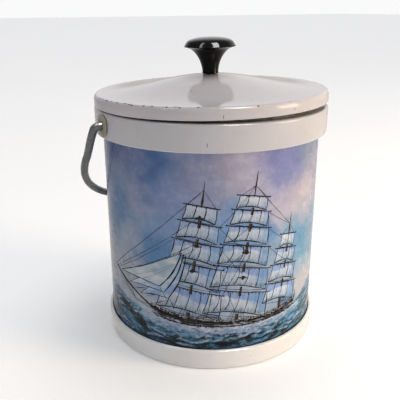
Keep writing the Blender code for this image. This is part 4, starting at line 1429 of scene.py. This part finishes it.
# flat end caps, closed with shrinking rings
for end, tg, base in ((path[0], -tan[0], 0), (path[-1], tan[-1], (npath - 1) * SIDES)):
    prev = list(range(base, base + SIDES))
    ring0 = np.array([verts[j] for j in prev])
    c = end * MM
    for f, out in ((0.86, 0.35), (0.55, 0.6)):
        row = list(range(len(verts), len(verts) + SIDES))
        for q in ring0:
            verts.append(c + (q - c) * f + np.asarray(tg) * out * MM * 0.0)
        for k in range(SIDES):
            k2 = (k + 1) % SIDES
            faces.append((prev[k], prev[k2], row[k2], row[k]))
        prev = row
    tip = len(verts)
    verts.append(c)
    for k in range(SIDES):
        faces.append((prev[k], prev[(k + 1) % SIDES], tip))
wire = outward(mesh_object("bail_wire", verts, faces, MAT["wire"], "bail", sharp=60))
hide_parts("bail_handle")

# ---- lid ---------------------------------------------------------------------
COCK = math.radians(1.1)
ax = Vector((-math.sin(math.radians(-32.0)), math.cos(math.radians(-32.0)), 0.0))
lid_rot = Matrix.Rotation(-COCK, 4, ax)
pv = Vector((0, 0, 188.0 * MM))
LID = Matrix.Translation(pv) @ lid_rot @ Matrix.Translation(-pv)


def dome(r):
    return 196.2 + 11.1 * math.cos(math.pi * min(r, 88.0) / 176.0) ** 2


up = [(r, dome(r)) for r in np.concatenate([[2.6, 4.0], np.linspace(6, 86.4, 44)])]
lid_edge = [(87.6 + 2.4 * math.cos(math.radians(a)), 191.9 + 4.3 * math.sin(math.radians(a)))
            for a in np.linspace(88, 0, 18)]
under = [(r, dome(r) - 0.6) for r in np.linspace(86.0, 2.6, 20)]
shell_profile = (up + lid_edge + [(90.0, 190.5)] + arc(89.55, 188.15, 0.45, 0, -90, 6) +
                 [(88.9, 187.7)] + arc(88.85, 188.1, 0.4, -90, -180, 5) +
                 [(88.45, 188.7), (89.4, 189.2), (89.4, 193.8)] + arc(87.6, 193.8, 1.8, 0, 80, 6) + under)
turned("lid_dome", shell_profile, 288, MAT["enamel_lid"], "lid", ("lid_shell",),
       matrix=LID, sharp=50)
plug_profile = ([(0, 179.0), (40, 179.0), (64.0, 179.0)] + arc(67.2, 180.8, 1.8, -90, 0, 8) +
                [(69.0, 189.4)] + arc(70.3, 189.6, 1.3, 180, 90, 6)[:0] +
                [(69.4, 190.5), (70.2, 190.9), (86.8, 190.9)] + arc(87.3, 191.6, 0.7, -90, 90, 8) +
                [(67.5, 192.3), (67.5, 182.2), (66.2, 180.5), (0, 180.5)])
turned("lid_plug", plug_profile, 192, MAT["liner"], "lid", ("lid_liner",), matrix=LID, sharp=50)
gasket = [(75.5, 189.5), (76.0, 189.1), (78.8, 189.1), (79.5, 189.4), (80.2, 189.1), (83.0, 189.1),
          (83.5, 189.5), (83.5, 190.6), (75.5, 190.6)]
turned("lid_seal", gasket, 160, MAT["vinyl"], "lid", ("lid_gasket",), matrix=LID, sharp=40)

# knob
outer = [(6.0, 207.6), (6.25, 207.9), (6.15, 209.0), (6.3, 211.0), (6.8, 213.4), (7.5, 215.8), (8.4, 218.0),
         (9.6, 220.2), (11.0, 222.2), (12.8, 224.2), (15.0, 225.85), (17.2, 226.85), (19.1, 227.35)]
cr = catmull(outer, 60)
knob_profile = ([(3.7, 207.6)] + [tuple(p) for p in cr] + arc(19.36, 227.78, 0.34, -70, 50, 8) +
                [tuple(p) for p in
                 catmull([(19.45, 228.3), (18.8, 229.4), (18.1, 230.5), (17.3, 231.5), (16.1, 232.3), (14.4, 233.0),
                          (11.2, 233.8), (7.5, 234.3), (4.0, 234.55), (0.0, 234.65)], 44)] +
                [(0, 222.6), (3.7, 222.6)])
turned("knob_body", knob_profile, 160, MAT["knob"], "lid", ("knob",), matrix=LID, sharp=60)


# chips: bare dark flakes where the enamel has gone
def lid_point(a, r, z, lift=0.03):
    """a: plan angle to the right of the front, degrees."""
    t = math.radians(a)
    d = np.array([math.cos(t) * FRONT[0] + math.sin(t) * SIDE[0],
                  math.cos(t) * FRONT[1] + math.sin(t) * SIDE[1]])
    return d, r, z


chip_rng = np.random.default_rng(5)
CH = {"v": [], "f": [], "n": 0}


def flake(surface, a, pos, size, stretch=1.0, angle=None):
    """An irregular flake on a turned surface; surface(pos) gives (r, z, nr, nz)."""
    n = 9
    base = CH["n"]
    ang = chip_rng.uniform(0, math.pi) if angle is None else angle
    pts = []
    for k in range(-1, n):
        if k < 0:
            du = dv = 0.0
        else:
            th = 2 * math.pi * k / n
            m = size * (0.55 + chip_rng.uniform(0, 0.75))
            u, v = m * math.cos(th) * stretch, m * math.sin(th)
            du = u * math.cos(ang) - v * math.sin(ang)
            dv = u * math.sin(ang) + v * math.cos(ang)
        r, z, nr, nz = surface(pos + dv)
        t = math.radians(a) + du / max(r, 5)
        r2, z2 = r + nr * 0.03, z + nz * 0.03
        x = r2 * (math.cos(t) * FRONT[0] + math.sin(t) * SIDE[0])
        y = r2 * (math.cos(t) * FRONT[1] + math.sin(t) * SIDE[1])
        pts.append((x * MM, y * MM, z2 * MM))
    CH["v"] += pts
    for k in range(n):
        CH["f"].append((base, base + 1 + k, base + 1 + (k + 1) % n))
    CH["n"] += n + 1


def lid_surface(q):
    """q: distance in mm along the lid's outside from the start of the edge bend;
    negative is in on the dome, positive is down the bend and skirt."""
    e = 2.4
    if q < 0:
        r = 87.6 + q
        return r, dome(r), 0.0, 1.0
    arc_len = e * math.pi / 2
    if q < arc_len:
        t = q / e
        nr, nz = 4.3 * math.sin(t), e * math.cos(t)
        return 87.6 + e * math.sin(t), 191.9 + 4.3 * math.cos(t), nr / math.hypot(nr, nz), nz / math.hypot(nr, nz)
    return 90.0, 191.9 - (q - arc_len), 1.0, 0.0


for a, q, s_ in ((-60, 0.8, .42), (-55, 1.1, .5), (-50.5, 0.9, .38), (-46, 1.0, .55), (-41, 0.6, .75), (-37.5, 1.0, .62),
                 (-35.8, 1.5, .35), (-29.5, 1.2, .42), (-25.5, 0.9, .5), (-18.5, 1.2, .35), (-14.6, 0.7, .62),
                 (-12.8, 1.3, .4), (-5.2, 0.8, .5), (-64, 1.2, .35), (22, -14, .38), (-16, -38, .3),
                 (20, 1.8, .3), (36, 1.0, .3), (96, 1.0, .5), (120, 1.2, .4), (150, 0.9, .6), (-120, 1.0, .5),
                 (-150, 1.1, .4), (175, 1.2, .55), (38, 5.2, .25), (-8, -52, .3), (60, -30, .3)):
    flake(lid_surface, a, q - 0.4, s_ * 1.75, 1.35, 0.0)
flake(lid_surface, 5.2, 5.6, 0.26, 6.5, math.pi / 2)   # upright nick in the skirt
chip_mat = Nodes("bare_chips")
cn = chip_mat.noise(900, 4)
chip_mat.link(chip_mat.mix(chip_mat.step(cn, 0.35, 0.65), rgb((38, 32, 30)), rgb((86, 66, 52))),
              chip_mat.b.inputs["Base Color"])
chip_mat.link(chip_mat.step(cn, 0.3, 0.7, 0.45, 0.75), chip_mat.b.inputs["Roughness"])
chip_mat.set(Metallic=0.3)
chip_mat.bump(cn, 0.3, 0.0001)


def flush_chips(name, body, matrix=None):
    v = np.array(CH["v"])
    if matrix is not None:
        m = np.array(matrix)
        v = v @ m[:3, :3].T + m[:3, 3]
    ob = mesh_object(name, v, list(CH["f"]), chip_mat.mat, body, sharp=0)
    # faces look outwards from the axis or upwards
    bm = bmesh.new()
    bm.from_mesh(ob.data)
    for f in bm.faces:
        c = f.calc_center_median()
        out = Vector((c.x, c.y, 0)).normalized() * 0.4 + Vector((0, 0, 0.3))
        if f.normal.dot(out) < 0:
            f.normal_flip()
    bm.to_mesh(ob.data)
    bm.free()
    CH["v"], CH["f"], CH["n"] = [], [], 0
    return ob


flush_chips("lid_chips", "lid", LID)


def band_surface(q):
    """Collar and base side walls: q is the height."""
    if q > 100:
        return 90.3, q, 1.0, 0.0
    return 86.9 + (87.5 - 86.9) * min(1, q / 14), q, 1.0, 0.0


flake(band_surface, -1.4, 171.8, 0.24, 8.0, math.pi / 2)
flake(band_surface, 20.0, 9.0, 0.40, 1.3)
flake(band_surface, 46.0, 175.0, 0.25, 1.0)
flake(band_surface, 30.0, 172.0, 0.22, 1.0)
flake(band_surface, -30.0, 173.0, 0.22, 1.0)
flake(band_surface, -44.0, 11.0, 0.30, 1.5)
flake(band_surface, 110.0, 178.0, 0.45, 1.4)
flake(band_surface, -135.0, 7.0, 0.5, 1.5)
flake(band_surface, 160.0, 172.0, 0.35, 1.4)
flake(band_surface, 175.0, 11.0, 0.4, 1.3)
flush_chips("band_chips", "bucket")

# ---- CAD nodes that stay -----------------------------------------------------
KEPT = {"foam_jacket": "foam", "foam_base_pad": "foam", "lid_foam_disc": "foam", "knob_insert": "brass",
        "knob_screw": "screw", "knob_washer": "screw", "push_nut_left": "spring", "push_nut_right": "spring",
        "pivot_washer_left": "fibre", "pivot_washer_right": "fibre"}
for node, key in KEPT.items():
    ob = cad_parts[node]
    for sl in ob.material_slots:
        sl.material = MAT[key]

# ---- stage, light, camera ----------------------------------------------------
floor_mat = Nodes("floor_paper")
fn = floor_mat.noise(3, 3)
floor_mat.link(floor_mat.mix(floor_mat.step(fn, 0.3, 0.7), rgb((250, 250, 250)), rgb((247, 247, 247))),
               floor_mat.b.inputs["Base Color"])
floor_mat.set(Roughness=0.9, Emission_Strength=0.07, Emission_Color=(1.0, 1.0, 1.0, 1.0))
bpy.ops.mesh.primitive_plane_add(size=30, location=(0, 0, -0.0003))
floor = bpy.context.object
floor.name = "floor"
floor.data.materials.append(floor_mat.mat)
floor.visible_glossy = False


def in_view(x, y, z):
    """Camera-side coordinates (right, away, up) in metres to world."""
    return Vector((SIDE[0] * x - FRONT[0] * y, SIDE[1] * x - FRONT[1] * y, z))


def area(name, loc, target, size, power, colour, size_y=None):
    li = bpy.data.lights.new(name, "AREA")
    li.energy = power
    li.color = colour
    li.shape = "RECTANGLE"
    li.size = size
    li.size_y = size_y or size
    ob = bpy.data.objects.new(name, li)
    bpy.context.scene.collection.objects.link(ob)
    ob.location = loc
    ob.rotation_euler = (target - loc).to_track_quat("-Z", "Y").to_euler()
    return ob


mid = Vector((0, 0, 0.11))
area("key_right", in_view(1.40, -0.38, 0.45), mid, 0.6, 17.8, (1.0, 0.80, 0.59), 0.8)
sky_lamp = bpy.data.lights.new("overcast", "SUN")
sky_lamp.energy = 1.45
sky_lamp.angle = math.radians(50)
sky_lamp.color = (1.0, 0.99, 0.99)
top = bpy.data.objects.new("overcast", sky_lamp)
bpy.context.scene.collection.objects.link(top)
top.rotation_euler = (-in_view(0.1, 0.1, 1.0)).to_track_quat("-Z", "Y").to_euler()
top.visible_glossy = False
knob_at = Vector((0, 0, 0.23))
for nm, wx, wy, wide, watts in (("window_high_right", 0.55, -0.70, 0.60, 46.0),
                                ("window_high_left", -0.83, -0.56, 0.22, 7.0)):
    win = area(nm, in_view(wx, wy, 1.65), knob_at, wide, watts, (0.97, 1.0, 1.0), 0.75)
    win.visible_diffuse = False
area("front_fill", in_view(-0.5, -1.9, 0.9), mid, 1.0, 1.2, (0.90, 0.95, 1.0))

# surroundings: a pale room, brighter behind the object and near the floor
world = bpy.data.worlds.new("studio")
bpy.context.scene.world = world
world.use_nodes = True
wt = world.node_tree
bg = wt.nodes["Background"]
tcw = wt.nodes.new("ShaderNodeTexCoord")
dot = wt.nodes.new("ShaderNodeVectorMath")
dot.operation = "DOT_PRODUCT"
LOBE = math.radians(14)
dot.inputs[1].default_value = (-FRONT[0] * math.cos(LOBE) + SIDE[0] * math.sin(LOBE),
                                -FRONT[1] * math.cos(LOBE) + SIDE[1] * math.sin(LOBE), 0.0)
wt.links.new(tcw.outputs["Generated"], dot.inputs[0])
rngn = wt.nodes.new("ShaderNodeMapRange")
rngn.interpolation_type = "SMOOTHSTEP"
for k, v in (("From Min", 0.25), ("From Max", 0.85), ("To Min", 0.0), ("To Max", 1.0)):
    rngn.inputs[k].default_value = v
wt.links.new(dot.outputs["Value"], rngn.inputs["Value"])
sepw = wt.nodes.new("ShaderNodeSeparateXYZ")
wt.links.new(tcw.outputs["Generated"], sepw.inputs[0])
low = wt.nodes.new("ShaderNodeMapRange")
low.interpolation_type = "SMOOTHSTEP"
for k, v in (("From Min", 0.45), ("From Max", 0.85), ("To Min", 1.0), ("To Max", 0.0)):
    low.inputs[k].default_value = v
wt.links.new(sepw.outputs["Z"], low.inputs["Value"])
both = wt.nodes.new("ShaderNodeMath")
both.operation = "MULTIPLY"
wt.links.new(rngn.outputs[0], both.inputs[0])
wt.links.new(low.outputs[0], both.inputs[1])
wmix = wt.nodes.new("ShaderNodeMix")
wmix.data_type = "RGBA"
band = wt.nodes.new("ShaderNodeMapRange")
band.interpolation_type = "SMOOTHSTEP"
for k, v in (("From Min", 0.02), ("From Max", 0.13), ("To Min", 0.0), ("To Max", 1.0)):
    band.inputs[k].default_value = v
wt.links.new(sepw.outputs["Z"], band.inputs["Value"])
behind = wt.nodes.new("ShaderNodeMix")
behind.data_type = "RGBA"
behind.inputs[6].default_value = (0.52, 0.47, 0.44, 1)
behind.inputs[7].default_value = (0.93, 0.93, 0.94, 1)
wt.links.new(band.outputs[0], behind.inputs[0])
below = wt.nodes.new("ShaderNodeMapRange")
below.interpolation_type = "SMOOTHSTEP"
for k, v in (("From Min", -0.24), ("From Max", -0.12), ("To Min", 1.0), ("To Max", 0.0)):
    below.inputs[k].default_value = v
wt.links.new(sepw.outputs["Z"], below.inputs["Value"])
behind_low = wt.nodes.new("ShaderNodeMix")
behind_low.data_type = "RGBA"
behind_low.inputs[7].default_value = (0.78, 0.72, 0.69, 1)
wt.links.new(behind.outputs[2], behind_low.inputs[6])
wt.links.new(below.outputs[0], behind_low.inputs[0])
wt.links.new(behind_low.outputs[2], wmix.inputs[7])
rise = wt.nodes.new("ShaderNodeMapRange")
for k, v in (("From Min", 0.1), ("From Max", 0.8), ("To Min", 0.0), ("To Max", 1.0)):
    rise.inputs[k].default_value = v
wt.links.new(sepw.outputs["Z"], rise.inputs["Value"])
dim = wt.nodes.new("ShaderNodeMix")
dim.data_type = "RGBA"
dim.inputs[6].default_value = (0.10, 0.105, 0.115, 1)
dim.inputs[7].default_value = (0.32, 0.33, 0.345, 1)
wt.links.new(rise.outputs[0], dim.inputs[0])
dim_low = wt.nodes.new("ShaderNodeMix")
dim_low.data_type = "RGBA"
dim_low.inputs[7].default_value = (0.29, 0.29, 0.29, 1)
wt.links.new(dim.outputs[2], dim_low.inputs[6])
wt.links.new(below.outputs[0], dim_low.inputs[0])
wt.links.new(dim_low.outputs[2], wmix.inputs[6])
wt.links.new(both.outputs[0], wmix.inputs[0])
path_w = wt.nodes.new("ShaderNodeLightPath")
seen = wt.nodes.new("ShaderNodeMix")
seen.data_type = "RGBA"
seen.inputs[7].default_value = (0.955, 0.957, 0.96, 1)
wt.links.new(path_w.outputs["Is Camera Ray"], seen.inputs[0])
wt.links.new(wmix.outputs[2], seen.inputs[6])
wt.links.new(seen.outputs[2], bg.inputs[0])
bg.inputs[1].default_value = 1.0
bpy.context.scene.view_settings.view_transform = "Standard"

cam_data = bpy.data.cameras.new("camera")
cam = bpy.data.objects.new("camera", cam_data)
bpy.context.scene.collection.objects.link(cam)
D, H, PITCH, YAW, ROLL, F = 0.440, 0.256, 0.333, -0.02, -0.004, 558.6
cam_data.sensor_width = 36
cam_data.lens = F / 400 * 36
cam_data.clip_start = 0.01
fw0 = Vector((math.sin(YAW) * math.cos(PITCH), math.cos(YAW) * math.cos(PITCH), -math.sin(PITCH)))
rt0 = Vector((math.cos(YAW), -math.sin(YAW), 0))
upv = rt0.cross(fw0)
rt1 = math.cos(ROLL) * rt0 + math.sin(ROLL) * upv
up1 = -math.sin(ROLL) * rt0 + math.cos(ROLL) * upv
turn = Matrix.Rotation(VIEW_AZ, 3, "Z")
rt, upw, fw = turn @ rt1, turn @ up1, turn @ fw0
mat3 = Matrix((rt, upw, -fw)).transposed()
cam.matrix_world = Matrix.Translation(turn @ Vector((0, -D, H))) @ mat3.to_4x4()
bpy.context.scene.camera = cam
